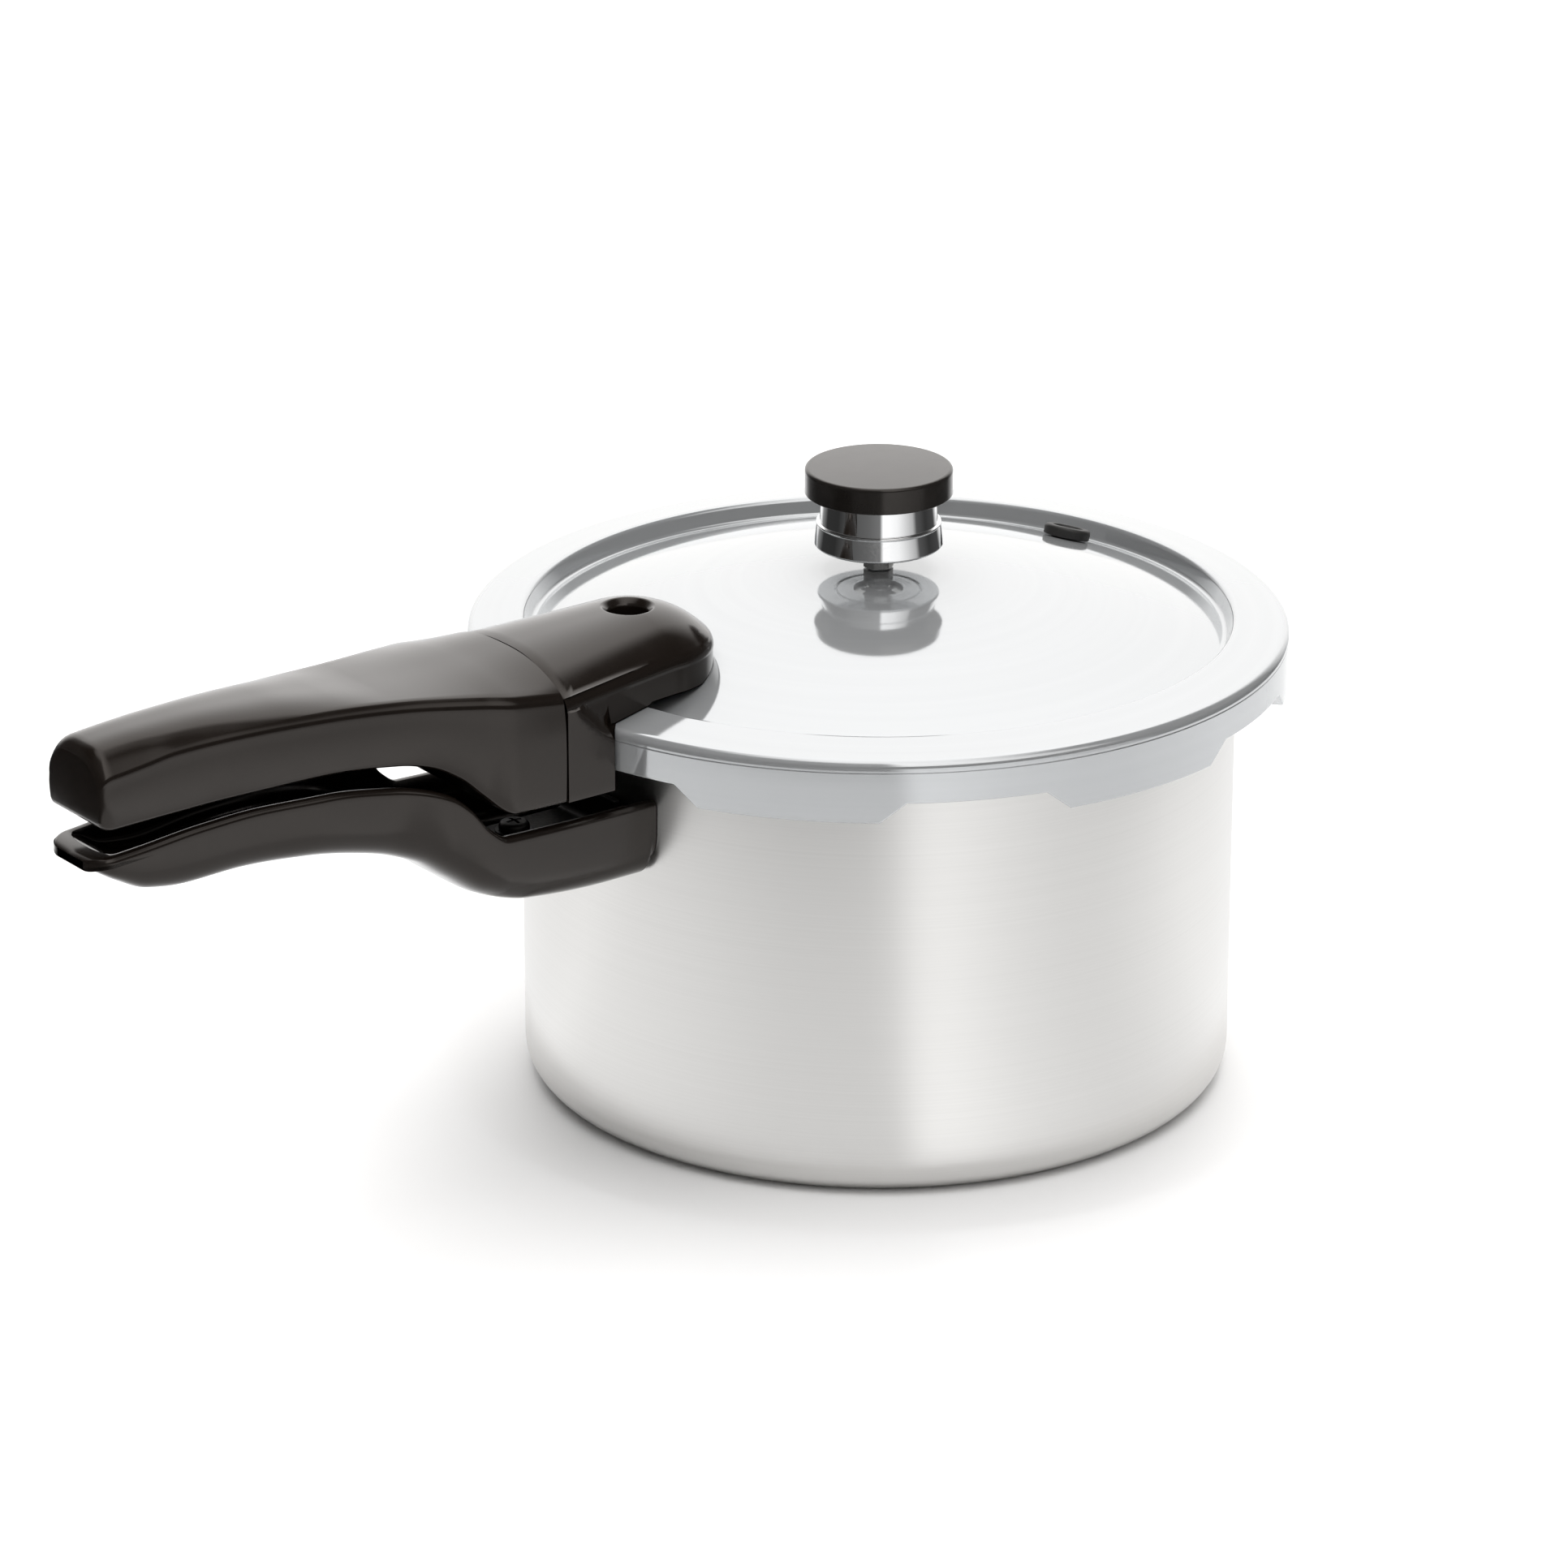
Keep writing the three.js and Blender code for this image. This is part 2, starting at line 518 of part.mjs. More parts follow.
// Places are measured out from the skirt, and heights from the outer edge of the rim.
const GRIP_CROWN = [
  [13, 19.6], [37, 18.6], [60, 18.6], [78, 20.6], [100, 22.1], [122, 22], [139, 20.3], [147, 15.6],
  [150, 9.6],
];
const GRIP_KEEL = [
  [150, 6], [145, 1.1], [128, 2.4], [105, 3.3], [83, 3.6], [61, 2.1], [52, 0.1], [44, -4.4],
  [38, -10.4], [29, -16.5], [13, -17.4],
];
const GRIP_HALF_WIDTHS = [
  [13, SEAM_HALF_WIDTH], [28, 29.5], [37, 27], [60, 21], [77, 18.5], [105, 16], [122, 14], [145, 12.5],
];
const KEEL_Z = RIM_Z - 17.4; // flat underside of the handle beside the skirt
const TAB_THICK = 2;
const TAB_Z = KEEL_Z + 1.2;
const TAB_HALF_WIDTH = 11;
const REAR_SCREW_X = SEAM + 7;
const REAR_SCREW_LENGTH = 14;
const SEAL_WASHER_THICK = 1.2;
const FRONT_SCREW_LENGTH = 15;
const FRONT_SEAL_Z = domeZ(FRONT_SCREW_X + SCREW_HEAD_RADIUS + 1) - COVER_THICK - 0.5 - SEAL_WASHER_THICK;
const TIE_Z = RIM_Z + 9.8;
const TIE_HEAD_X = SKIRT_OUTER - 6;
const TIE_LENGTH = SEAM - TIE_HEAD_X + 14;

/** Room for the cover bracket's plate and tab, cut from both mouldings. */
function bracketRoom() {
  const plate = block([0, -TAB_HALF_WIDTH - GAP, 0], [SKIRT_OUTER + 2 * GAP + TAB_THICK, TAB_HALF_WIDTH + GAP, RIM_Z - 2]);
  const tab = block([0, -TAB_HALF_WIDTH - GAP, 0], [REAR_SCREW_X + 8, TAB_HALF_WIDTH + GAP, TAB_Z + TAB_THICK + GAP]);
  return plate.add(tab);
}

/** Front moulding: a hollow hood over the air vent, from the nose on the dome to the seam. */
function coverHandleFront() {
  const tip = VENT_RADIUS - NOSE_RADIUS;
  const crown = RIM_Z + CROWN_HEIGHT;
  const end = SEAM - GAP / 2;
  const belly = RIM_INNER_Z + RUN; // underside over the cover
  const top = smooth([
    new THREE.Vector2(tip, crown - 8), new THREE.Vector2(tip + 3, crown - 3.6), new THREE.Vector2(tip + 10, crown - 1.2),
    new THREE.Vector2(VENT_RADIUS, crown), new THREE.Vector2(SKIRT_OUTER - 8, crown - 0.5),
    new THREE.Vector2(end, crown - 1.3),
  ], 14);
  const side = upright(new THREE.Shape([
    new THREE.Vector2(tip, belly), ...top, new THREE.Vector2(end, KEEL_Z),
    new THREE.Vector2(SKIRT_OUTER - 6, KEEL_Z), new THREE.Vector2(SKIRT_OUTER - 6, belly),
  ]), 80);
  const outline = (inset, far) => {
    const plan = new THREE.Shape();
    plan.moveTo(far, inset - SEAM_HALF_WIDTH);
    plan.lineTo(VENT_RADIUS, inset - NOSE_RADIUS);
    plan.absarc(VENT_RADIUS, 0, NOSE_RADIUS - inset, -Math.PI / 2, Math.PI / 2, true);
    plan.lineTo(far, SEAM_HALF_WIDTH - inset);
    return plan;
  };
  const plan = raised(outline(0, end), KEEL_Z - 1, crown + 1);
  const shoulder = crown - 7.3; // where the crowned top meets the sides
  const section = new THREE.Shape([
    new THREE.Vector2(-SEAM_HALF_WIDTH - 1, KEEL_Z - 1), new THREE.Vector2(SEAM_HALF_WIDTH + 1, KEEL_Z - 1),
    new THREE.Vector2(SEAM_HALF_WIDTH + 1, shoulder), new THREE.Vector2(SEAM_HALF_WIDTH - 6, shoulder + 4.6),
    new THREE.Vector2(12, crown - 0.7), new THREE.Vector2(0, crown + 0.1), new THREE.Vector2(-12, crown - 0.7),
    new THREE.Vector2(6 - SEAM_HALF_WIDTH, shoulder + 4.6), new THREE.Vector2(-SEAM_HALF_WIDTH - 1, shoulder),
  ]);
  const crowned = new THREE.ExtrudeGeometry(section, { depth: end + 10, bevelEnabled: false });
  crowned.rotateX(Math.PI / 2).rotateZ(Math.PI / 2);
  const room = raised(outline(5, TIE_HEAD_X), KEEL_Z, crown - 6);
  const boss = post(5.5, belly, crown - 5, FRONT_SCREW_X);
  const window = post(WINDOW_RADIUS, crown - 10, crown + 5, VENT_RADIUS);
  const thread = post(SCREW_RADIUS + GAP, belly - 10, FRONT_SEAL_Z + FRONT_SCREW_LENGTH, FRONT_SCREW_X);
  const body = side.intersect(plan).intersect(solid(crowned)).subtract(room).add(boss)
    .subtract(window).subtract(thread).subtract(tieHole()).subtract(bracketRoom()).subtract(coverEnvelope(GAP));
  return part('cover_handle_front', 'phenolic', shape(body));
}

/** The tie screw's hole through the seam. */
function tieHole() {
  const geometry = new THREE.CylinderGeometry(SCREW_RADIUS + GAP, SCREW_RADIUS + GAP, TIE_LENGTH + 1, 20);
  return solid(geometry.rotateZ(Math.PI / 2).translate(TIE_HEAD_X + (TIE_LENGTH + 1) / 2, 0, TIE_Z));
}

/** Grip moulding, from the seam to the hand's end. */
function coverHandleGrip() {
  const x = SKIRT_OUTER;
  const start = SEAM + GAP / 2;
  const top = smooth(shifted(GRIP_CROWN, x, RIM_Z), 24);
  const keel = smooth(shifted(GRIP_KEEL, x, RIM_Z), 26);
  const side = upright(new THREE.Shape([...top, ...keel]), 80);
  const plan = raised(planOutline(GRIP_HALF_WIDTHS, x, 0, 150), KEEL_Z - 1, RIM_Z + 40);
  const front = block([0, -60, 0], [start, 60, RIM_Z + 60]);
  const thread = post(SCREW_RADIUS + GAP, KEEL_Z - 1, TAB_Z + REAR_SCREW_LENGTH, REAR_SCREW_X);
  const body = side.intersect(plan).subtract(front).subtract(bracketRoom()).subtract(tieHole()).subtract(thread);
  return part('cover_handle_grip', 'phenolic', shape(body));
}

/** Steel bracket welded to the skirt, with a tab under the handle for the rear screw. */
function coverBracket() {
  const face = SKIRT_OUTER + GAP;
  const w = TAB_HALF_WIDTH;
  const plate = block([face, -w, TAB_Z], [face + TAB_THICK, w, RIM_Z - 2.4]);
  const tab = block([face, -w, TAB_Z], [REAR_SCREW_X + 7.5, w, TAB_Z + TAB_THICK]);
  const hole = post(SCREW_RADIUS + GAP, TAB_Z - 1, TAB_Z + 3, REAR_SCREW_X);
  return part('cover_bracket', 'steel', shape(plate.add(tab).subtract(hole)));
}

/** The three screws and the seal washer that hold the cover handle. */
function coverHandleFasteners() {
  const washerShape = washer(SCREW_RADIUS + GAP, SCREW_HEAD_RADIUS, SEAL_WASHER_THICK);
  const seal = part('cover_screw_seal', 'rubber', washerShape);
  seal.position.set(FRONT_SCREW_X, 0, FRONT_SEAL_Z);
  const front = part('cover_screw_front', 'steel', screw(FRONT_SCREW_LENGTH));
  front.position.set(FRONT_SCREW_X, 0, FRONT_SEAL_Z - GAP);
  const rear = part('cover_screw_rear', 'steel', screw(REAR_SCREW_LENGTH));
  rear.position.set(REAR_SCREW_X, 0, TAB_Z - GAP);
  const tie = part('handle_tie_screw', 'steel', screw(TIE_LENGTH));
  tie.rotation.y = Math.PI / 2;
  tie.position.set(TIE_HEAD_X - GAP, 0, TIE_Z);
  return [seal, front, rear, tie];
}

// ---------------------------------------------------------------- pressure regulator

const CAVITY_RADIUS = 7.5;
const NEEDLE_TOP = NEEDLE_TIP + 4.8;
const HUB_RADIUS = 7;
const HUB_TOP = NEEDLE_TOP + 2.3;

/** Needle that closes the vent pipe; the weight hangs and rocks on it. */
function regulatorNeedle() {
  const z = DOME_TOP_Z;
  return part('regulator_needle', 'steel', shape(turned([
    [0, z + NEEDLE_TIP], [NEEDLE_RADIUS, z + NEEDLE_TIP + 2.6], [NEEDLE_RADIUS, z + NEEDLE_TOP - 0.8],
    [NEEDLE_RADIUS - 0.8, z + NEEDLE_TOP], [0, z + NEEDLE_TOP],
  ], 16)));
}

/** Two-tier chromed weight, hollow underneath, with a hub for the cap. */
function regulatorWeight() {
  const z = DOME_TOP_Z;
  const boreTop = NEEDLE_TOP + GAP;
  return part('regulator_weight', 'chrome', shape(turned([
    [0, z + HUB_TOP], [HUB_RADIUS, z + HUB_TOP], [HUB_RADIUS, z + WEIGHT_TOP],
    [WEIGHT_RADIUS - 1.2, z + WEIGHT_TOP], [WEIGHT_RADIUS - 1.2, z + WEIGHT_RIDGE + 0.6],
    [WEIGHT_RADIUS - 0.6, z + WEIGHT_RIDGE], [WEIGHT_RADIUS, z + WEIGHT_BOTTOM + 0.6],
    [WEIGHT_RADIUS - 0.6, z + WEIGHT_BOTTOM], [14, z + WEIGHT_BOTTOM], [14, z + WEIGHT_BOTTOM + 3],
    [11, z + WEIGHT_BOTTOM + 3], [11, z + WEIGHT_BOTTOM], [CAVITY_RADIUS, z + WEIGHT_BOTTOM],
    [CAVITY_RADIUS, z + NEEDLE_TIP - 0.9], [NEEDLE_RADIUS + 1, z + NEEDLE_TIP - 0.9],
    [NEEDLE_RADIUS + 1, z + boreTop], [0, z + boreTop],
  ], 32)));
}

/** Star-shaped spring clip in the mouth of the weight, loose round the vent pipe. */
function regulatorClip() {
  const star = new THREE.Shape();
  star.absarc(0, 0, CAVITY_RADIUS - GAP, 0, 2 * Math.PI, false);
  const points = Array.from({ length: 12 }, (_, i) => {
    const radius = i % 2 ? 5.8 : PIPE_SHANK + 1;
    const angle = (Math.PI * i) / 6;
    return new THREE.Vector2(radius * Math.cos(angle), radius * Math.sin(angle));
  });
  star.holes.push(new THREE.Path(points));
  const z = DOME_TOP_Z + WEIGHT_BOTTOM + 1;
  return part('regulator_clip', 'steel', shape(raised(star, z, z + 0.6)));
}

/** Phenolic cap pressed over the weight's hub. */
function regulatorCap() {
  const z = DOME_TOP_Z + WEIGHT_TOP + GAP;
  const top = z + CAP_HEIGHT;
  return part('regulator_cap', 'phenolic', shape(turned([
    [0, DOME_TOP_Z + HUB_TOP + GAP], [HUB_RADIUS + GAP, DOME_TOP_Z + HUB_TOP + GAP], [HUB_RADIUS + GAP, z],
    [CAP_RADIUS - 0.8, z], [CAP_RADIUS, z + 0.8],
    ...arc(CAP_RADIUS - 3, top - 3, 3, 0, 90, 3),
    [0, top],
  ], 32)));
}

// ---------------------------------------------------------------- assembly

const cooker = new THREE.Group();
cooker.rotation.z = Math.PI;
cooker.add(potBody(), handleBracket(), bodyHandle(), ...bodyHandleFasteners(), lockBracket());
cooker.add(cookingRack(), sealingRing());
cooker.add(cover(), ...ventPipe(), overpressurePlug(), ...airVent());
cooker.add(coverHandleFront(), coverHandleGrip(), coverBracket(), ...coverHandleFasteners());
cooker.add(regulatorNeedle(), regulatorWeight(), regulatorClip(), regulatorCap());

export default cooker;
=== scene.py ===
"""A four-quart stovetop pressure cooker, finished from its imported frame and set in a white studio.

Lengths are millimetres, and each mesh is brought to metres as it is made. Along the handles a
place is (out, across, up): out from the cooker's axis, across towards the camera, up from the base.
"""

import math

import bmesh
import bpy
import numpy as np
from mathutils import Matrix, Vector


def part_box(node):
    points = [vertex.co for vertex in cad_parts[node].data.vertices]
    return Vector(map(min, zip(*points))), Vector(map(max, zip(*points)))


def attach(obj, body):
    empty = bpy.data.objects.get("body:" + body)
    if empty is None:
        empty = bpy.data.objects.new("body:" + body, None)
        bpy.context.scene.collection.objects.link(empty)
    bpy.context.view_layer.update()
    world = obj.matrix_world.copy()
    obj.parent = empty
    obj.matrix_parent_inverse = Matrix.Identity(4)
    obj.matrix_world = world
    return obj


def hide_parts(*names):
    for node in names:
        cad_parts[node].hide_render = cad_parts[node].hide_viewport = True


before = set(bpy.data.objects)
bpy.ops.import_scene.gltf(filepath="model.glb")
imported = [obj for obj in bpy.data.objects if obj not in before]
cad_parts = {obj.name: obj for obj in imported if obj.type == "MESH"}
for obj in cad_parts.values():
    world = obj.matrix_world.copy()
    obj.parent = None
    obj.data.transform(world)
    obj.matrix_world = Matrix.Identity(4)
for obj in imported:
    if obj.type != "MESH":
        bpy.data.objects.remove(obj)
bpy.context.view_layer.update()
MM = 0.001

# ---------------------------------------------------------------- studio
# A white sweep on the floor and a white wall behind. Reflections see a dim room with bright walls
# behind and one tall bright strip by the camera; a square softbox overhead lights the floor.

AIM = Vector((-0.0216, 0.0163, 0.0847))
CAMERA_PLACE = Vector((-1.1157, -1.4355, 0.7898))

lens = bpy.data.cameras.new("camera")
lens.lens = 154.3
lens.sensor_width = 36
lens.clip_start, lens.clip_end = 0.05, 60
camera = bpy.data.objects.new("camera", lens)
camera.location = CAMERA_PLACE
camera.rotation_euler = (AIM - CAMERA_PLACE).to_track_quat("-Z", "Y").to_euler()
bpy.context.scene.collection.objects.link(camera)
bpy.context.scene.camera = camera
bpy.context.scene.view_settings.view_transform = "Standard"


def node(tree, kind, inputs=None, **settings):
    """A shader node with its settings, and its inputs set to values or linked to outputs."""
    made = tree.nodes.new(kind)
    for name, value in settings.items():
        setattr(made, name, value)
    for name, value in (inputs or {}).items():
        if isinstance(value, bpy.types.NodeSocket):
            tree.links.new(value, made.inputs[name])
        else:
            made.inputs[name].default_value = value
    return made


def ramp(tree, factor, stops, interpolation="LINEAR"):
    """A colour ramp over (position, grey or colour) stops; gives its colour output."""
    made = node(tree, "ShaderNodeValToRGB", {"Fac": factor})
    made.color_ramp.interpolation = interpolation
    for _ in stops[2:]:
        made.color_ramp.elements.new(0.5)
    for element, (position, tone) in zip(made.color_ramp.elements, stops):
        element.position = position
        element.color = (*((tone,) * 3 if isinstance(tone, (int, float)) else tone), 1)
    return made.outputs["Color"]


def number(tree, operation, *values):
    """A math node; gives its output."""
    made = node(tree, "ShaderNodeMath", operation=operation)
    for socket, value in zip(made.inputs, values):
        if isinstance(value, bpy.types.NodeSocket):
            tree.links.new(value, socket)
        else:
            socket.default_value = value
    return made.outputs[0]


def azimuth(tree, place):
    """Share of a full turn that a place lies round the cooker: a half towards the camera, and
    more to the camera's right."""
    towards = CAMERA_PLACE.to_2d() - AIM.to_2d()
    facing = -math.atan2(towards.x, -towards.y)
    turned_place = node(
        tree, "ShaderNodeVectorRotate", {"Vector": place, "Angle": facing}, rotation_type="Z_AXIS",
    )
    axes = node(tree, "ShaderNodeSeparateXYZ", {"Vector": turned_place.outputs[0]}).outputs
    angle = number(tree, "ARCTAN2", axes["X"], number(tree, "MULTIPLY", axes["Y"], -1.0))
    return number(tree, "MULTIPLY_ADD", angle, 0.5 / math.pi, 0.5)


def bearings(stops):
    """Ramp stops from (degrees to the camera's right, tone) pairs."""
    return [(degrees / 360 + 0.5, tone) for degrees, tone in stops]


def blend(tree, share, low, high):
    """A colour mixed from two, by a share."""
    return node(tree, "ShaderNodeMix", {0: share, 6: low, 7: high}, data_type="RGBA").outputs[2]


room = bpy.data.worlds.new("studio_room")
room.use_nodes = True
room.node_tree.nodes.clear()
sky = room.node_tree
place = node(sky, "ShaderNodeTexCoord").outputs["Generated"]
rise = node(sky, "ShaderNodeSeparateXYZ", {"Vector": place}).outputs["Z"]
height = number(sky, "MULTIPLY_ADD", rise, 0.5, 0.5)
share = azimuth(sky, place)
low_walls = ramp(sky, share, bearings([(-152, 1.25), (-130, 0.08), (130, 0.08), (152, 1.25)]))
WALLS = bearings([
    (-152, 1.25), (-138, 0.28), (-118, 0.035), (-85, 0.03), (-62, 0.085), (-20, 0.14), (2, 0.20),
    (8, 1.32), (35, 1.11), (68, 0.52), (76, 0.10), (100, 0.04), (130, 0.07), (150, 1.25),
])
walls = ramp(sky, share, WALLS)
shoulder = ramp(sky, height, [(0.0, 0.0), (0.715, 0.0), (0.755, 1.0), (1.0, 1.0)])
above = ramp(sky, height, [(0.0, 0.0), (0.945, 0.0), (0.997, 1.0), (1.0, 1.0)])
side_tone = blend(sky, above, blend(sky, shoulder, low_walls, walls), (1.1, 1.1, 1.1, 1))
lift = number(sky, "MULTIPLY_ADD", number(sky, "MAXIMUM", rise, 0.0), 0.5, 1.13)
warm = node(sky, "ShaderNodeVectorMath", {0: side_tone, 1: (1.0, 0.985, 0.97)}, operation="MULTIPLY").outputs[0]
ground = node(sky, "ShaderNodeBackground", {"Color": warm, "Strength": lift})
backdrop = node(sky, "ShaderNodeBackground", {"Color": (1, 1, 1, 1), "Strength": 1.0})
seen = node(sky, "ShaderNodeLightPath").outputs["Is Camera Ray"]
mixed = node(sky, "ShaderNodeMixShader", {0: seen, 1: ground.outputs[0], 2: backdrop.outputs[0]})
node(sky, "ShaderNodeOutputWorld", {"Surface": mixed.outputs[0]})
bpy.context.scene.world = room

lamp = bpy.data.lights.new("overhead_softbox", "AREA")
lamp.shape = "SQUARE"
lamp.size = 2.6
lamp.energy = 45
softbox = bpy.data.objects.new("overhead_softbox", lamp)
softbox.location = (0, 0, 1.9)
softbox.visible_camera = softbox.visible_glossy = False
bpy.context.scene.collection.objects.link(softbox)

sweep = bpy.data.meshes.new("floor")
sweep.from_pydata([(-9, -9, 0), (9, -9, 0), (9, 9, 0), (-9, 9, 0)], [], [(0, 1, 2, 3)])
floor = bpy.data.objects.new("floor", sweep)
bpy.context.scene.collection.objects.link(floor)
paper = bpy.data.materials.new("white_sweep")
paper.use_nodes = True
paper.node_tree.nodes["Principled BSDF"].inputs["Base Color"].default_value = (0.93, 0.93, 0.93, 1)
paper.node_tree.nodes["Principled BSDF"].inputs["Roughness"].default_value = 0.6
sweep.materials.append(paper)

# Reflector cards laid round the cooker, brighter on the camera's right. Only reflections see them.

spokes = np.radians(np.arange(0, 360, 5))
card_spots = [
    (radius * math.cos(a), radius * math.sin(a), 0.001) for radius in (0.125, 8.0) for a in spokes
]
turns = len(spokes)
card_faces = [(k, turns + k, turns + (k + 1) % turns, (k + 1) % turns) for k in range(turns)]
card_mesh = bpy.data.meshes.new("reflector_cards")
card_mesh.from_pydata(card_spots, [], card_faces)
cards = bpy.data.objects.new("reflector_cards", card_mesh)
bpy.context.scene.collection.objects.link(cards)
cards.visible_camera = cards.visible_diffuse = cards.visible_shadow = False
glow = bpy.data.materials.new("reflector_glow")
glow.use_nodes = True
glow.node_tree.nodes.clear()
card_tree = glow.node_tree
card_share = azimuth(card_tree, node(card_tree, "ShaderNodeTexCoord").outputs["Object"])
near_tone = ramp(card_tree, card_share, bearings([
    (-150, 1.2), (-100, 1.25), (-87, 1.33), (-75, 1.22), (-50, 1.13), (-24, 1.0), (3.5, 0.96),
    (9.5, 1.45), (16, 1.42), (33, 1.18), (50, 1.07), (62, 1.08), (95, 1.32), (150, 1.25),
]))
far_tone = ramp(card_tree, card_share, WALLS)
spot = node(card_tree, "ShaderNodeTexCoord").outputs["Object"]
out_by = node(card_tree, "ShaderNodeVectorMath", {0: spot}, operation="LENGTH").outputs["Value"]
far_share = ramp(card_tree, out_by, [(0.0, 0.0), (0.455, 0.0), (0.485, 1.0), (1.0, 1.0)])
card_tone = blend(card_tree, far_share, near_tone, far_tone)
emitter = node(card_tree, "ShaderNodeEmission", {"Color": card_tone, "Strength": 1.0})
node(card_tree, "ShaderNodeOutputMaterial", {"Surface": emitter.outputs[0]})
card_mesh.materials.append(glow)

# ---------------------------------------------------------------- pot
# Drawn from aluminium sheet, with a flared sealing rim and seven bayonet lugs pressed out under
# it. The wall is spun to a satin finish, so the light drags across fine rings.

RIM_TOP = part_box("pot_body")[1].z / MM
POT_WALL = 103.0
POT_BORE = 100.0
SEAL_FACE = 109.4
POT_LUG_HALF = 11
POT_LUG_SLOPE = 0.7
LUGS = 7
LUG_PITCH = 360 / LUGS
LUG_BEARING = 220.0


def rounded(corners, ring=False, steps=6):
    """A path through (x, y, radius) corners. Each corner becomes an arc that touches both sides,
    with a short straight run at each end of it, so that the long faces stay flat in the light."""
    spots = np.array([corner[:2] for corner in corners], float)
    path = []
    for k, (*_, radius) in enumerate(corners):
        here = spots[k]
        if radius == 0 or (not ring and k in (0, len(corners) - 1)):
            path.append(here[None])
            continue
        back, ahead = spots[k - 1] - here, spots[(k + 1) % len(spots)] - here
        back, ahead = back / np.linalg.norm(back), ahead / np.linalg.norm(ahead)
        half = math.acos(np.clip(back @ ahead, -1, 1)) / 2
        if math.pi / 2 - half < 1e-3:
            path.append(np.repeat(here[None], steps + 3, 0))
            continue
        reach = radius / math.tan(half)
        centre = here + (back + ahead) / np.linalg.norm(back + ahead) * radius / math.sin(half)
        first, last = here + back * reach - centre, here + ahead * reach - centre
        sweep_angle = math.pi - 2 * half
        t = np.linspace(0, 1, steps + 1)[:, None]
        bend = (np.sin((1 - t) * sweep_angle) * first + np.sin(t * sweep_angle) * last) / math.sin(sweep_angle)
        ease = 0.12 * radius
        path.append(np.vstack([centre + first + back * ease, centre + bend, centre + last + ahead * ease]))
    return np.vstack(path)


def surface(name, grid, body, around=True, along=False, lids=(), crease=38):
    """A mesh of quads through a grid of points in millimetres, rows by columns by three. The
    columns join up where around is set and the rows where along is set; lids closes the named
    end rows with one flat face. Doubles are merged, and the faces turned outwards."""
    rows, columns = grid.shape[:2]
    i, j = np.meshgrid(np.arange(rows - (not along)), np.arange(columns - (not around)), indexing="ij")
    i, j = i.ravel(), j.ravel()
    down, right = (i + 1) % rows, (j + 1) % columns
    faces = np.stack([i * columns + j, i * columns + right, down * columns + right, down * columns + j], 1).tolist()
    faces += [(np.arange(columns) + (row % rows) * columns).tolist() for row in lids]
    mesh = bpy.data.meshes.new(name)
    mesh.from_pydata((grid.reshape(-1, 3) * MM).tolist(), [], faces)
    shell = bmesh.new()
    shell.from_mesh(mesh)
    bmesh.ops.remove_doubles(shell, verts=shell.verts, dist=2e-6)
    bmesh.ops.recalc_face_normals(shell, faces=shell.faces)
    if shell.calc_volume(signed=True) < 0:
        bmesh.ops.reverse_faces(shell, faces=shell.faces)
    shell.to_mesh(mesh)
    shell.free()
    mesh.shade_smooth()
    mesh.set_sharp_from_angle(angle=math.radians(crease))
    made = bpy.data.objects.new(name, mesh)
    bpy.context.scene.collection.objects.link(made)
    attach(made, body)
    return made


FULL_TURN = np.linspace(0, 360, 192, endpoint=False)


def turned(name, path, body, ring=False, angles=FULL_TURN, centre=(0, 0), crease=38):
    """A path of (radius, height) carried round an upright axis: across is radius times the sine
    and cosine of the angle. A path may differ at each angle: rows by angles by two."""
    path = path[:, None] if path.ndim == 2 else path
    round_by = np.radians(angles)
    radius, up = path[..., 0], path[..., 1]
    grid = np.stack([
        centre[0] + radius * np.cos(round_by), centre[1] + radius * np.sin(round_by),
        up * np.ones_like(round_by),
    ], -1)
    return surface(name, grid, body, along=ring, crease=crease)


def lug_angles(core, slope):
    """Angles round the cooker, close together where a lug begins and ends."""
    gap = LUG_PITCH / 2
    pitch = np.concatenate([
        np.linspace(-gap, -core - slope, 9, endpoint=False),
        np.linspace(-core - slope, -core, 7, endpoint=False),
        np.linspace(-core, core, 14, endpoint=False),
        np.linspace(core, core + slope, 7, endpoint=False),
        np.linspace(core + slope, gap, 9, endpoint=False),
    ])
    return (LUG_BEARING + pitch + LUG_PITCH * np.arange(LUGS)[:, None]).ravel()


def lug_share(angles, core, slope):
    """1 on a lug and 0 between lugs, with a straight slope from one to the other."""
    off = np.abs((angles - LUG_BEARING + LUG_PITCH / 2) % LUG_PITCH - LUG_PITCH / 2)
    return np.clip((core + slope - off) / slope, 0, 1)


def between(plain, lug, share):
    """Each point of a path moved from its plain place to its place on a lug."""
    return plain[:, None] + (lug - plain)[:, None] * share[None, :, None]


flare = RIM_TOP - 3.8


def pot_path(lug):
    """Outline of the pot from the middle of its base, up the outside and down the inside."""
    below = flare - 3 if lug else flare - 2.5
    shelf = [(POT_WALL, below, 0.8), (114.4, below, 0.5), (114.4, flare + 1, 0.5), (SEAL_FACE, flare + 1, 0.3)]
    plain = [
        (POT_WALL, below, 2.0), (SEAL_FACE - 0.4, flare, 0.5), (SEAL_FACE, flare + 0.6, 0.3),
        (SEAL_FACE, flare + 1, 0.1),
    ]
    return rounded([
        (0, 0.5, 0), (60, 0.5, 1), (61, 0, 1), (POT_WALL, 0, 9), *(shelf if lug else plain),
        (SEAL_FACE, RIM_TOP, 0.7), (POT_BORE, RIM_TOP, 0.7), (POT_BORE, 4, 6), (0, 4, 0),
    ], steps=7)


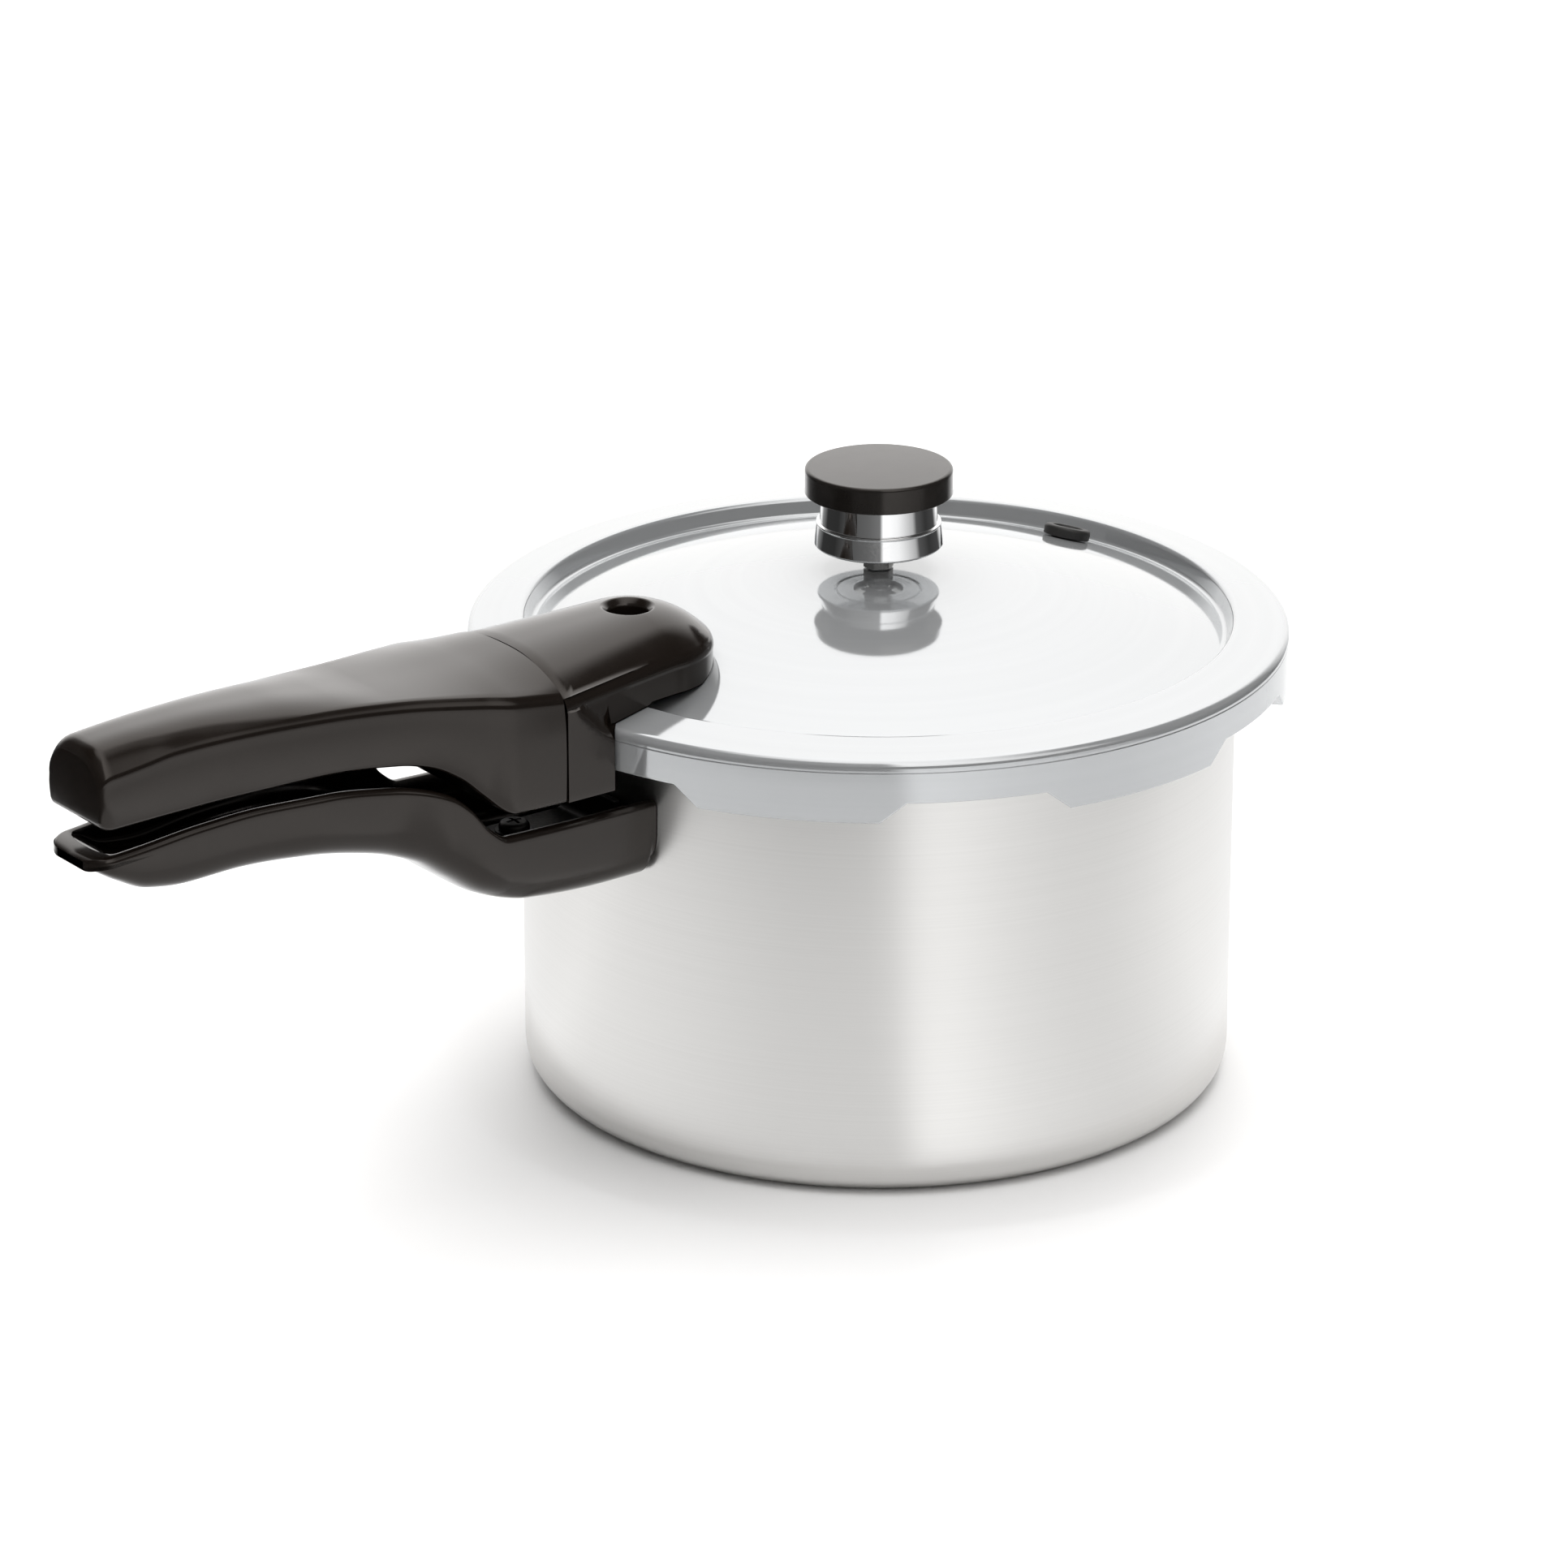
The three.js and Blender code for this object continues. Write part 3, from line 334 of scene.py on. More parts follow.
around = lug_angles(POT_LUG_HALF, POT_LUG_SLOPE)
on_lug = lug_share(around, POT_LUG_HALF, POT_LUG_SLOPE)
pot = turned("pot", between(pot_path(False), pot_path(True), on_lug), "pot", angles=around)
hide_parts("pot_body")


def rings(tree, pitch, waver=0.6):
    """Noise that changes quickly with radius and height and slowly round the axis: the marks that
    a spinning or polishing wheel leaves. Pitch is the spacing of the rings in millimetres."""
    coordinates = node(tree, "ShaderNodeTexCoord").outputs["Object"]
    flat = node(tree, "ShaderNodeVectorMath", {0: coordinates, 1: (1, 1, 0)}, operation="MULTIPLY").outputs[0]
    radius = node(tree, "ShaderNodeVectorMath", {0: flat}, operation="LENGTH").outputs["Value"]
    up = node(tree, "ShaderNodeSeparateXYZ", {0: coordinates}).outputs["Z"]
    way = node(tree, "ShaderNodeVectorMath", {0: flat}, operation="NORMALIZE").outputs[0]
    level = number(tree, "MULTIPLY", number(tree, "ADD", radius, up), 1 / (pitch * MM))
    axis = node(tree, "ShaderNodeCombineXYZ", {0: level, 1: level, 2: 0.0}).outputs[0]
    spot = node(tree, "ShaderNodeVectorMath", {0: way, 1: (waver,) * 3, 2: axis}, operation="MULTIPLY_ADD").outputs[0]
    return node(tree, "ShaderNodeTexNoise", {"Vector": spot, "Scale": 1.0, "Detail": 3.0}).outputs["Fac"]


def blotches(tree, scale, detail=4.0):
    """Soft noise over the piece, with that many cells to the metre."""
    coordinates = node(tree, "ShaderNodeTexCoord").outputs["Object"]
    return node(tree, "ShaderNodeTexNoise", {"Vector": coordinates, "Scale": scale, "Detail": detail}).outputs["Fac"]


def material(name, metallic, colour, roughness, bump, **constants):
    """A Principled material. Colour, roughness and bump are made from its own tree; the other
    inputs are constants set on the shader."""
    made = bpy.data.materials.new(name)
    made.use_nodes = True
    tree = made.node_tree
    shader = tree.nodes["Principled BSDF"]
    shader.inputs["Metallic"].default_value = metallic
    for key, value in constants.items():
        shader.inputs[key.replace("_", " ")].default_value = value
    tree.links.new(colour(tree), shader.inputs["Base Color"])
    tree.links.new(roughness(tree), shader.inputs["Roughness"])
    height, strength, distance = bump(tree)
    relief = node(tree, "ShaderNodeBump", {"Height": height, "Strength": strength, "Distance": distance * MM})
    tree.links.new(relief.outputs[0], shader.inputs["Normal"])
    return made


satin_aluminium = material(
    "satin_aluminium", 1.0,
    lambda tree: ramp(tree, rings(tree, 0.8), [(0.25, (0.635, 0.628, 0.615)), (0.75, (0.66, 0.653, 0.64))]),
    lambda tree: ramp(tree, rings(tree, 0.4, 2.0), [(0.2, 0.28), (0.8, 0.32)]),
    lambda tree: (rings(tree, 0.35, 1.2), 0.12, 0.015),
)
pot.data.materials.append(satin_aluminium)

# ---------------------------------------------------------------- brackets
# Bent from steel strip: one welded to the pot wall for the lower handle, and a small shelf inside
# the rim whose keyhole slot keeps the cover from turning while the air vent pin is up.


def handle_places(grid):
    """(out, across, up) points along the handles as points of the frame."""
    return grid * np.array([-1, -1, 1])


def bent_strip(name, path, thick, half_widths, body):
    """Strip folded along a path of (out, up): the path moved half the thickness to each side,
    and carried across the strip's width, which may change along the path."""
    step = np.gradient(path, axis=0)
    step /= np.linalg.norm(step, axis=1)[:, None]
    side = np.stack([-step[:, 1], step[:, 0]], 1) * thick / 2
    outline = np.vstack([path + side, (path - side)[::-1]])
    widths = np.concatenate([half_widths, half_widths[::-1]])
    across = np.array([-1, 1])[:, None] * widths
    grid = np.stack([outline[:, 0] + 0 * across, across, outline[:, 1] + 0 * across], -1)
    return surface(name, handle_places(grid), body, lids=(0, 1))


def cut(piece, tool):
    """The piece with the tool's solid taken out of it; the tool is then removed."""
    drill = piece.modifiers.new("cut", "BOOLEAN")
    drill.object, drill.operation, drill.solver = tool, "DIFFERENCE", "EXACT"
    bpy.context.view_layer.update()
    whole = piece.evaluated_get(bpy.context.evaluated_depsgraph_get())
    shaped = bpy.data.meshes.new_from_object(whole)
    piece.modifiers.clear()
    piece.data = shaped
    shaped.shade_smooth()
    shaped.set_sharp_from_angle(angle=math.radians(38))
    bpy.data.objects.remove(tool)


def drill_bit(radius, low, high, out, across=0.0):
    """An upright cylinder to cut with, at a place along the handles."""
    path = np.array([(0, low), (radius, low), (radius, high), (0, high)])
    return turned("tool", path, "pot", angles=np.linspace(0, 360, 48, endpoint=False), centre=(-out, -across))


def block_tool(low, high):
    """A box to cut with, between two (out, across, up) corners."""
    (x0, y0, z0), (x1, y1, z1) = low, high
    loop = [(x0, y0), (x1, y0), (x1, y1), (x0, y1)]
    grid = np.array([[(*spot, up) for spot in loop] for up in (z0, z1)], float)
    return surface("tool", handle_places(grid), "pot", lids=(0, 1))


def soften(piece, width, segments=2):
    """Breaks the piece's sharp edges."""
    edge = piece.modifiers.new("edges", "BEVEL")
    edge.width, edge.segments = width * MM, segments
    edge.limit_method, edge.angle_limit = "ANGLE", math.radians(40)
    edge.harden_normals = True


zinc_plate = material(
    "zinc_plate", 1.0,
    lambda tree: ramp(tree, blotches(tree, 260), [(0.3, (0.50, 0.50, 0.49)), (0.7, (0.62, 0.62, 0.61))]),
    lambda tree: ramp(tree, blotches(tree, 900), [(0.3, 0.24), (0.7, 0.42)]),
    lambda tree: (blotches(tree, 2600, 6.0), 0.3, 0.02),
)

black_oxide = material(
    "black_oxide", 1.0,
    lambda tree: ramp(tree, blotches(tree, 260), [(0.3, (0.045, 0.043, 0.042)), (0.7, (0.07, 0.068, 0.066))]),
    lambda tree: ramp(tree, blotches(tree, 900), [(0.3, 0.34), (0.7, 0.5)]),
    lambda tree: (blotches(tree, 2600, 6.0), 0.3, 0.02),
)

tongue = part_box("handle_bracket")
tongue_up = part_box("body_handle_washer")[0].z / MM - 1.3
plate_out = -tongue[1].x / MM + 1
path = rounded([
    (plate_out, tongue[1].z / MM, 0), (plate_out, tongue_up, 3), (-tongue[0].x / MM, tongue_up, 0),
])
plate_or_tongue = np.where(path[:, 0] < plate_out + 1.5, 16.0, 9.0)
strip = bent_strip("pot_bracket", path, 2, plate_or_tongue, "pot")
BODY_SCREW_OUT = 128.0
cut(strip, drill_bit(2.3, 80, 120, BODY_SCREW_OUT))
soften(strip, 0.3)
strip.data.materials.append(black_oxide)
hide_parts("handle_bracket")

VENT_OUT = 88.5
shelf_low, shelf_high = (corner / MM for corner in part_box("lock_bracket"))
shelf_up = shelf_high.z - 0.75
shelf_back = -shelf_low.x - 0.75
path = rounded([(shelf_back, shelf_low.z, 0), (shelf_back, shelf_up, 1.6), (-shelf_high.x, shelf_up, 0)])
strip = bent_strip("lock_shelf", path, 1.5, np.full(len(path), 7.0), "pot")
cut(strip, drill_bit(4.0, 115, 135, VENT_OUT))
cut(strip, block_tool((VENT_OUT - 2.6, 0, 115), (VENT_OUT + 2.6, 9, 135)))
soften(strip, 0.25)
strip.data.materials.append(zinc_plate)
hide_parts("lock_bracket")

# ---------------------------------------------------------------- lower handle
# Compression-moulded phenolic, an open trough with a rounded underside. It is screwed to the
# tongue of the pot's bracket from above, with a washer under the screw's head.


def eased(table, at):
    """The value at each place along a smooth line through (place, value) pairs. It is a cubic
    between pairs, whose slope at a pair is the harmonic mean of the chords beside it, or level
    where they turn, so that the line never swings past its points."""
    x, y = np.array(table, float).T
    at = np.clip(at, x[0], x[-1])
    chord = np.diff(y) / np.diff(x)
    product = chord[1:] * chord[:-1]
    total = np.where(product > 0, chord[1:] + chord[:-1], 1)
    slope = np.concatenate([chord[:1], np.where(product > 0, 2 * product / total, 0), chord[-1:]])
    k = np.clip(np.searchsorted(x, at) - 1, 0, len(x) - 2)
    h = x[k + 1] - x[k]
    t = (at - x[k]) / h
    return (
        (1 + 2 * t) * (1 - t) ** 2 * y[k] + t * (1 - t) ** 2 * h * slope[k]
        + t ** 2 * (3 - 2 * t) * y[k + 1] - t ** 2 * (1 - t) * h * slope[k + 1]
    )


phenolic = material(
    "black_phenolic", 0.0,
    lambda tree: ramp(tree, blotches(tree, 45), [(0.3, (0.0060, 0.0042, 0.0032)), (0.7, (0.0076, 0.0054, 0.0042))]),
    lambda tree: ramp(tree, blotches(tree, 160, 6.0), [(0.3, 0.15), (0.7, 0.20)]),
    lambda tree: (blotches(tree, 1500, 3.0), 0.05, 0.02),
    IOR=1.42, Specular_Tint=(1.0, 0.92, 0.86, 1), Coat_Weight=0.4, Coat_Roughness=0.14, Coat_IOR=1.26,
)

TROUGH_END = 271.0
LOWER_RIM = [
    (99, 111.4), (149, 112.5), (155, 116.3), (160.5, 123.2), (166, 127.6), (174, 130.5), (182, 132), (201, 134),
    (219, 134), (238, 132.7), (256, 130.4), (267, 129.4), (271, 129.0),
]
LOWER_KEEL = [
    (99, 91), (104, 91), (105, 87.6), (114, 87.6), (140, 89.5), (155, 94.4), (164.5, 101), (173, 107), (187, 112),
    (206, 115.5), (225, 116.5), (243, 115.6), (254, 117), (263, 121.4), (268, 124.6), (271, 126.8),
]
LOWER_HALF_WIDTH = [
    (99, 28), (150, 28.8), (166, 26), (182, 21.5), (201, 19.5), (219, 17), (238, 15), (256, 13.6), (271, 13.0),
]
WALL = 3.0
CORNER = 6.5
INNER_END = 266.5

near_wall = np.linspace(103.3, 104.2, 3)
runs = np.concatenate([
    near_wall, np.linspace(104.6, 106, 4), np.linspace(107, 148, 22), np.linspace(149, 185, 40),
    np.linspace(187, 253, 34),
    np.linspace(254.5, INNER_END - 4, 8), INNER_END - 4 + 4 * np.sin(np.radians(np.linspace(10, 90, 9))),
])
curl = np.radians(np.linspace(0, 90, 12))
runs = np.concatenate([runs, TROUGH_END - CORNER * (1 - np.sin(curl))])
runs = np.unique(np.round(runs, 4))
corner_share = np.clip((runs - TROUGH_END + CORNER) / CORNER, 0, 1)
half = eased(LOWER_HALF_WIDTH, runs) - CORNER * (1 - np.sqrt(1 - corner_share ** 2))
rim = eased(LOWER_RIM, runs) - 0.8 * corner_share ** 4
keel = np.minimum(eased(LOWER_KEEL, runs), rim - 0.4)
inner_share = np.clip((runs - INNER_END + 4) / 4, 0, 1)
inner_half = (half - WALL) * np.sqrt(1 - inner_share ** 3)
trough = np.minimum(keel + 5.5, rim - 1.2)
trough = rim - (rim - trough) * np.clip((INNER_END - runs) / 9, 0, 1) ** 0.5


def trough_section(half, rim, keel, inner, floor):
    """Half of the trough's section from the middle of its underside out, up the side, over the
    rim and down inside to the middle of its floor, as (across, up) for every run at once. The
    underside is a quarter of a squared-off ellipse: across is the half width times a power of
    the sine, and down is the depth times the same power of the cosine."""
    bend = np.radians(np.linspace(0, 90, 15))
    power = 0.42
    deep = np.minimum((rim - keel) * 0.8, 17)
    under = [(half * math.sin(b) ** power, keel + deep * (1 - math.cos(b) ** power)) for b in bend]
    over = [(half, rim - 2.8)] + [
        (half - 1.7 * (1 - math.cos(b)), rim - 1.7 * (1 - math.sin(b))) for b in np.radians(np.linspace(0, 90, 7))
    ]
    ledge, ease = np.maximum(inner, 0), np.clip(inner, 0, 1)
    inside = [
        (ledge + 0.5 * ease, rim), (ledge + 0.15 * ease, rim - 0.12 * ease), (ledge, rim - 0.45 * ease),
    ]
    well = np.minimum((rim - floor) * 0.75, 9)
    down = [
        (ledge * math.cos(b) ** power * 0.985, floor + well * (1 - math.sin(b) ** power)) for b in bend
    ]
    return np.stack([np.stack(np.broadcast_arrays(*point), -1) for point in under + over + inside + down], 1)


half_loop = trough_section(half, rim, keel, inner_half, trough)
mirrored = half_loop[:, ::-1] * np.array([-1, 1])
loop = np.concatenate([half_loop, mirrored], 1)
back_face = np.sqrt(np.maximum(103.3 ** 2 - loop[..., 0] ** 2, 0)) - 103.3
out = runs[:, None] + back_face * np.clip((128 - runs[:, None]) / 24.7, 0, 1)
grid = np.stack([out, loop[..., 0], loop[..., 1]], -1)
lower_handle = surface("lower_handle", handle_places(grid), "pot", lids=(0, -1))
lower_handle.data.materials.append(phenolic)
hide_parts("body_handle")

boss_path = rounded([(0, 88.5, 0), (7.5, 88.5, 0), (6, tongue_up - 1.2, 0.6), (0, tongue_up - 1.2, 0)])
boss = turned("lower_handle_boss", boss_path, "pot", centre=(-BODY_SCREW_OUT, 0))
boss.data.materials.append(phenolic)


def screw(name, cad_node, body, length, centre, up, finish, points=1, head=4.5, tall=2.4):
    """Pan-head screw: a domed head, a shank whose thread is a row of ridges, and a crosshead
    recess. The head's underside is at the given height, and the shank runs up or down from it."""
    ridges = np.arange(1.2, length - 1, 0.8)
    flanks = np.repeat(ridges, 2) + np.tile([0, 0.4], len(ridges))
    thread = np.stack([np.tile([1.95, 1.55], len(ridges)), flanks], 1)
    crown = rounded([(0, -tall, 0), (head - 0.4, -tall * 0.8, 1.2), (head, 0, 0.2), (1.6, 0, 0.2)], steps=5)
    path = np.vstack([crown, thread, [(0.8, length), (0, length)]])
    path[:, 1] = up + points * path[:, 1]
    angles = np.linspace(0, 360, 48, endpoint=False)
    made = turned(name, path, body, angles=angles, centre=centre, crease=30)
    top = up - points * tall
    for wide, deep in ((2.4, 0.45), (0.45, 2.4)):
        low = (-centre[0] - wide, -centre[1] - deep, min(top - points * 0.5, top + points * 1.5))
        high = (-centre[0] + wide, -centre[1] + deep, max(top - points * 0.5, top + points * 1.5))
        cut(made, block_tool(low, high))
    made.data.materials.append(finish)
    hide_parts(cad_node)


def washer(name, cad_node, body, inner, outer, low, high, centre, finish):
    """Flat washer with rolled edges."""
    ease = min(0.3, (high - low) * 0.3)
    corners = [(inner, low, ease), (outer, low, ease), (outer, high, ease), (inner, high, ease)]
    path = rounded(corners, ring=True, steps=3)
    angles = np.linspace(0, 360, 64, endpoint=False)
    made = turned(name, path, body, ring=True, angles=angles, centre=centre)
    made.data.materials.append(finish)
    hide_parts(cad_node)


bright_steel = material(
    "bright_steel", 1.0,
    lambda tree: ramp(tree, blotches(tree, 400), [(0.3, (0.60, 0.595, 0.58)), (0.7, (0.68, 0.675, 0.66))]),
    lambda tree: ramp(tree, blotches(tree, 1800), [(0.3, 0.14), (0.7, 0.26)]),
    lambda tree: (blotches(tree, 4200, 4.0), 0.15, 0.01),
)

HEAD_TALL = 2.4
low, high = (corner.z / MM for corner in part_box("body_handle_washer"))
washer(
    "lower_handle_washer", "body_handle_washer", "pot", 2.3, 5.5, low, high, (-BODY_SCREW_OUT, 0),
    black_oxide,
)
low, high = (corner.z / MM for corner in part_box("body_handle_screw"))
screw(
    "lower_handle_screw", "body_handle_screw", "pot", high - HEAD_TALL - low, (-BODY_SCREW_OUT, 0),
    high - HEAD_TALL, black_oxide, points=-1,
)

# ---------------------------------------------------------------- cooking rack
# A pressed aluminium plate with a folded edge to stand on, and nineteen holes for the steam.

rack_low, rack_high = (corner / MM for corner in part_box("cooking_rack"))
rack_radius = rack_high.x
rack_path = rounded([
    (0, rack_high.z - 1.5, 0), (rack_radius - 1.5, rack_high.z - 1.5, 0.8), (rack_radius - 1.5, rack_low.z, 0.5),
    (rack_radius, rack_low.z, 0.5), (rack_radius, rack_high.z, 2.0), (0, rack_high.z, 0),
])
rack = turned("rack", rack_path, "rack", angles=np.linspace(0, 360, 120, endpoint=False))
for share_out, count in ((0, 1), (0.36, 6), (0.74, 12)):
    for k in range(count):
        angle, from_axis = 2 * math.pi * k / count, share_out * rack_radius
        cut(rack, drill_bit(6, -5, 30, from_axis * math.cos(angle), from_axis * math.sin(angle)))
soften(rack, 0.25)
rack.data.materials.append(satin_aluminium)
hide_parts("cooking_rack")

# ---------------------------------------------------------------- sealing ring
# Moulded black rubber of C section: pressure inside the C spreads its lips against pot and cover.

black_rubber = material(
    "black_rubber", 0.0,
    lambda tree: ramp(tree, blotches(tree, 120), [(0.3, (0.010, 0.010, 0.010)), (0.7, (0.020, 0.019, 0.018))]),
    lambda tree: ramp(tree, blotches(tree, 500), [(0.3, 0.45), (0.7, 0.62)]),
    lambda tree: (blotches(tree, 3000, 4.0), 0.25, 0.02),
)
seal_low, seal_high = (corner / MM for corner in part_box("sealing_ring"))
seal_outer = seal_high.x
seal_inner = seal_outer - 8.9
seal = turned("seal", rounded([
    (seal_inner, seal_low.z, 0.3), (seal_outer, seal_low.z, 0.5), (seal_outer, seal_high.z, 0.5),
    (seal_inner, seal_high.z, 0.3), (seal_inner, seal_high.z - 1.3, 0.3),
    (seal_outer - 3, seal_high.z - 1.5, 0.7), (seal_outer - 3, seal_low.z + 1.5, 0.7),
    (seal_inner, seal_low.z + 1.3, 0.3),
], ring=True, steps=4), "ring", ring=True)
seal.data.materials.append(black_rubber)
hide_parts("sealing_ring")

# ---------------------------------------------------------------- cover
# Pressed from aluminium and buffed bright: a shallow dome inside a stepped rim, and a skirt cut
# into seven lugs whose lips turn under the lugs of the pot.

cover_low, cover_high = (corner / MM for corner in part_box("cover"))
DOME_TOP = cover_high.z
SKIRT = 118.0
LIP = cover_low.z
EDGE = LIP + 5.7
RIM = RIM_TOP + 8.1
RIM_IN = RIM + 2.2
DOME_EDGE = RIM_IN - 5.9
DOME_BALL = (100 ** 2 + (DOME_TOP - DOME_EDGE) ** 2) / (2 * (DOME_TOP - DOME_EDGE))
LUG_HALF = 12.5
LUG_SLOPE = 3.6
PLAIN_LIP = 114.9
LUG_LIP = 110.0


def dome(radius):
    """Height of the cover's outer face: the top of a ball."""
    return DOME_TOP - DOME_BALL + np.sqrt(DOME_BALL ** 2 - radius ** 2)


def cover_path(low, lip, thick):
    """Outline of the cover from the middle of the dome, out over the rim, down the skirt to the
    height low, and back inside over a lip that reaches in to the radius lip."""
    radius = np.linspace(0, 97, 40)
    outside = np.stack([radius, dome(radius)], 1)
    shell = rounded([
        (97.6, dome(97.6), 0), (99.9, dome(99.9), 1.3), (102, RIM_IN, 1.6), (SKIRT, RIM, 2.4),
        (SKIRT, RIM - 2.9, 0.05), (SKIRT - 0.25, RIM - 3.1, 0.05), (SKIRT, RIM - 3.3, 0.05),
        (SKIRT, low, 0.6), (lip, low, 0.4), (lip, low + thick, 0.4), (115, low + thick, 0.3),
        (115, RIM - 3, 1.2), (105, RIM_IN - 3, 1.5), (102.6, DOME_EDGE - 3.1, 2.0), (99, dome(99) - 3, 0),
    ])
    return np.vstack([outside, shell, np.stack([radius[::-1], dome(radius[::-1]) - 3], 1)])


around = lug_angles(LUG_HALF, LUG_SLOPE)
skirt_only = cover_path(LIP, PLAIN_LIP, 2.5)
on_lug = lug_share(around, LUG_HALF, LUG_SLOPE)
outline = between(cover_path(EDGE, PLAIN_LIP, 0.9), skirt_only, on_lug)

# The inward lips end more steeply than the skirt's lugs do, so that they clear the pot's lugs.

lip_share = lug_share(around, LUG_HALF - 0.3, 0.6)
outline += (cover_path(LIP, LUG_LIP, 2.5) - skirt_only)[:, None] * lip_share[None, :, None]
cover = turned("cover_pressing", outline, "cover", angles=around)
polished_aluminium = material(
    "polished_aluminium", 0.62,
    lambda tree: ramp(tree, rings(tree, 3.0), [(0.2, (0.490, 0.503, 0.512)), (0.8, (0.510, 0.523, 0.532))]),
    lambda tree: ramp(tree, rings(tree, 0.8, 2.0), [(0.2, 0.06), (0.8, 0.09)]),
    lambda tree: (rings(tree, 0.7, 1.0), 0.04, 0.01),
)
cover.data.materials.append(polished_aluminium)
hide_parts("cover")

# ---------------------------------------------------------------- vent pipe
# Turned from steel bar: a hexagon that stands on the dome, a spout for the regulator's needle,
# and a threaded shank held from below by a washer and a nut.


def hexagon(angles, flats):
    """Radius of a six-sided bar at each angle, for its width across flats, its corners broken."""
    off = np.radians((angles + 30) % 60 - 30)
    return np.minimum(flats / 2 / np.cos(off), flats / 2 * 1.13)


HEX_TURN = np.linspace(0, 360, 96, endpoint=False)


def hex_path(path, on_hex, flats):
    """A path whose marked rows are hexagons: their radius is scaled to reach the hexagon's."""
    spread = np.repeat(path[:, None].astype(float), len(HEX_TURN), 1)
    scale = hexagon(HEX_TURN, flats) / (flats / 2)
    spread[on_hex, :, 0] *= scale
    return spread


pipe_low, pipe_high = (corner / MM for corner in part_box("vent_pipe"))
seat = DOME_TOP + 0.3
flats = 7.7
pipe_corners = np.array([
    (1.3, pipe_low.z), (2.7, pipe_low.z), (3.0, pipe_low.z + 0.4), (3.0, seat - 0.01), (3.8, seat),
    (3.85, seat + 0.3), (3.85, seat + 5.3), (3.6, seat + 5.6), (2.9, seat + 5.9), (2.9, seat + 6.3),
    (3.5, seat + 6.6), (3.6, seat + 7.1), (3.3, seat + 7.5), (2.6, seat + 7.7),
    (2.6, pipe_high.z - 1.4), (2.1, pipe_high.z - 0.4), (1.7, pipe_high.z), (1.3, pipe_high.z - 0.2),
])
pipe = turned(
    "vent_pipe_bar", hex_path(pipe_corners, slice(4, 8), flats), "cover", ring=True, angles=HEX_TURN,
    crease=24,
)
pipe.data.materials.append(bright_steel)
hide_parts("vent_pipe")
low, high = (corner.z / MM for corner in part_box("vent_pipe_washer"))
washer("vent_washer", "vent_pipe_washer", "cover", 3.3, 6.5, low, high, (0, 0), bright_steel)
low, high = (corner.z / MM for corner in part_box("vent_pipe_nut"))
nut_corners = np.array([
    (3.3, low + 0.3), (3.6, low), (4.6, low), (5.2, low + 0.5), (5.2, high - 0.5), (4.6, high),
    (3.6, high), (3.3, high - 0.3),
])
nut = turned(
    "vent_nut", hex_path(nut_corners, slice(3, 5), 10.4), "cover", ring=True, angles=HEX_TURN,
    crease=24,
)
nut.data.materials.append(bright_steel)
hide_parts("vent_pipe_nut")

# ---------------------------------------------------------------- overpressure plug
# A rubber plug pushed through the dome, with a shallow dish in its head. It sits square to the
# dome's slope, on the far side from the handle.

PLUG_BEARING = math.radians(12)
PLUG_OUT = 86.0
under = -3.5
plug_path = rounded([
    (0, under - 2.5, 0), (5.3, under - 2.5, 0.8), (6.35, under, 0.4), (4.4, under, 0.2),
    (4.4, 0.35, 0.2), (6.85, 0.35, 0.4), (6.85, 3.5, 1.0), (4.6, 3.5, 0.4), (4.2, 2.9, 0.3), (0, 2.9, 0),
])
angles = np.radians(np.linspace(0, 360, 64, endpoint=False))
grid = np.stack([
    plug_path[:, :1] * np.cos(angles), plug_path[:, :1] * np.sin(angles), plug_path[:, 1:] * np.ones_like(angles)
], -1)
lean = math.asin(PLUG_OUT / DOME_BALL)
tip_over = np.array([
    [math.cos(lean), 0, math.sin(lean)], [0, 1, 0], [-math.sin(lean), 0, math.cos(lean)],
])
swing = np.array([
    [math.cos(PLUG_BEARING), -math.sin(PLUG_BEARING), 0],
    [math.sin(PLUG_BEARING), math.cos(PLUG_BEARING), 0],
    [0, 0, 1],
])
grid = grid @ tip_over.T + np.array([PLUG_OUT, 0, dome(PLUG_OUT)])
plug = surface("plug", grid @ swing.T, "cover")
plug.data.materials.append(black_rubber)
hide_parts("overpressure_plug")

# ---------------------------------------------------------------- air vent
# A steel pin that pressure lifts against its rubber gasket, sliding in a metal cup pressed into
# the dome. Its head shows through the window in the cover handle.

pin_low, pin_high = (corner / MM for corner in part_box("air_vent_pin"))
cup_low, cup_high = (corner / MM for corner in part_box("air_vent_cup"))
gasket_low, gasket_high = (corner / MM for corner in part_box("air_vent_gasket"))
vent_centre = (-VENT_OUT, 0)
collar = pin_low.z + 4
pin = turned("vent_pin_bar", rounded([
    (0, pin_low.z, 0), (3.4, pin_low.z, 0.6), (3.4, collar, 0.4), (2, collar, 0.2),
    (2, gasket_low.z - 0.3, 0.2), (1.5, gasket_low.z - 0.3, 0.1), (1.5, cup_high.z + 0.3, 0.1),
    (3.6, cup_high.z + 0.3, 0.4), (3.6, pin_high.z - 0.8, 0.5), (2.6, pin_high.z, 0.6),
    (0, pin_high.z, 0),
]), "vent_pin", angles=HEX_TURN, centre=vent_centre)
pin.data.materials.append(bright_steel)
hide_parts("air_vent_pin")
washer(
    "vent_gasket", "air_vent_gasket", "vent_pin", 1.8, 4.4, gasket_low.z, gasket_high.z, vent_centre,
    black_rubber,
)
cup = turned("vent_cup", rounded([
    (2.1, cup_low.z, 0.3), (6, cup_low.z, 0.8), (6, cup_high.z, 0.8), (2.1, cup_high.z, 0.3),
], ring=True), "cover", ring=True, angles=HEX_TURN, centre=vent_centre)
cup.data.materials.append(bright_steel)
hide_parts("air_vent_cup")

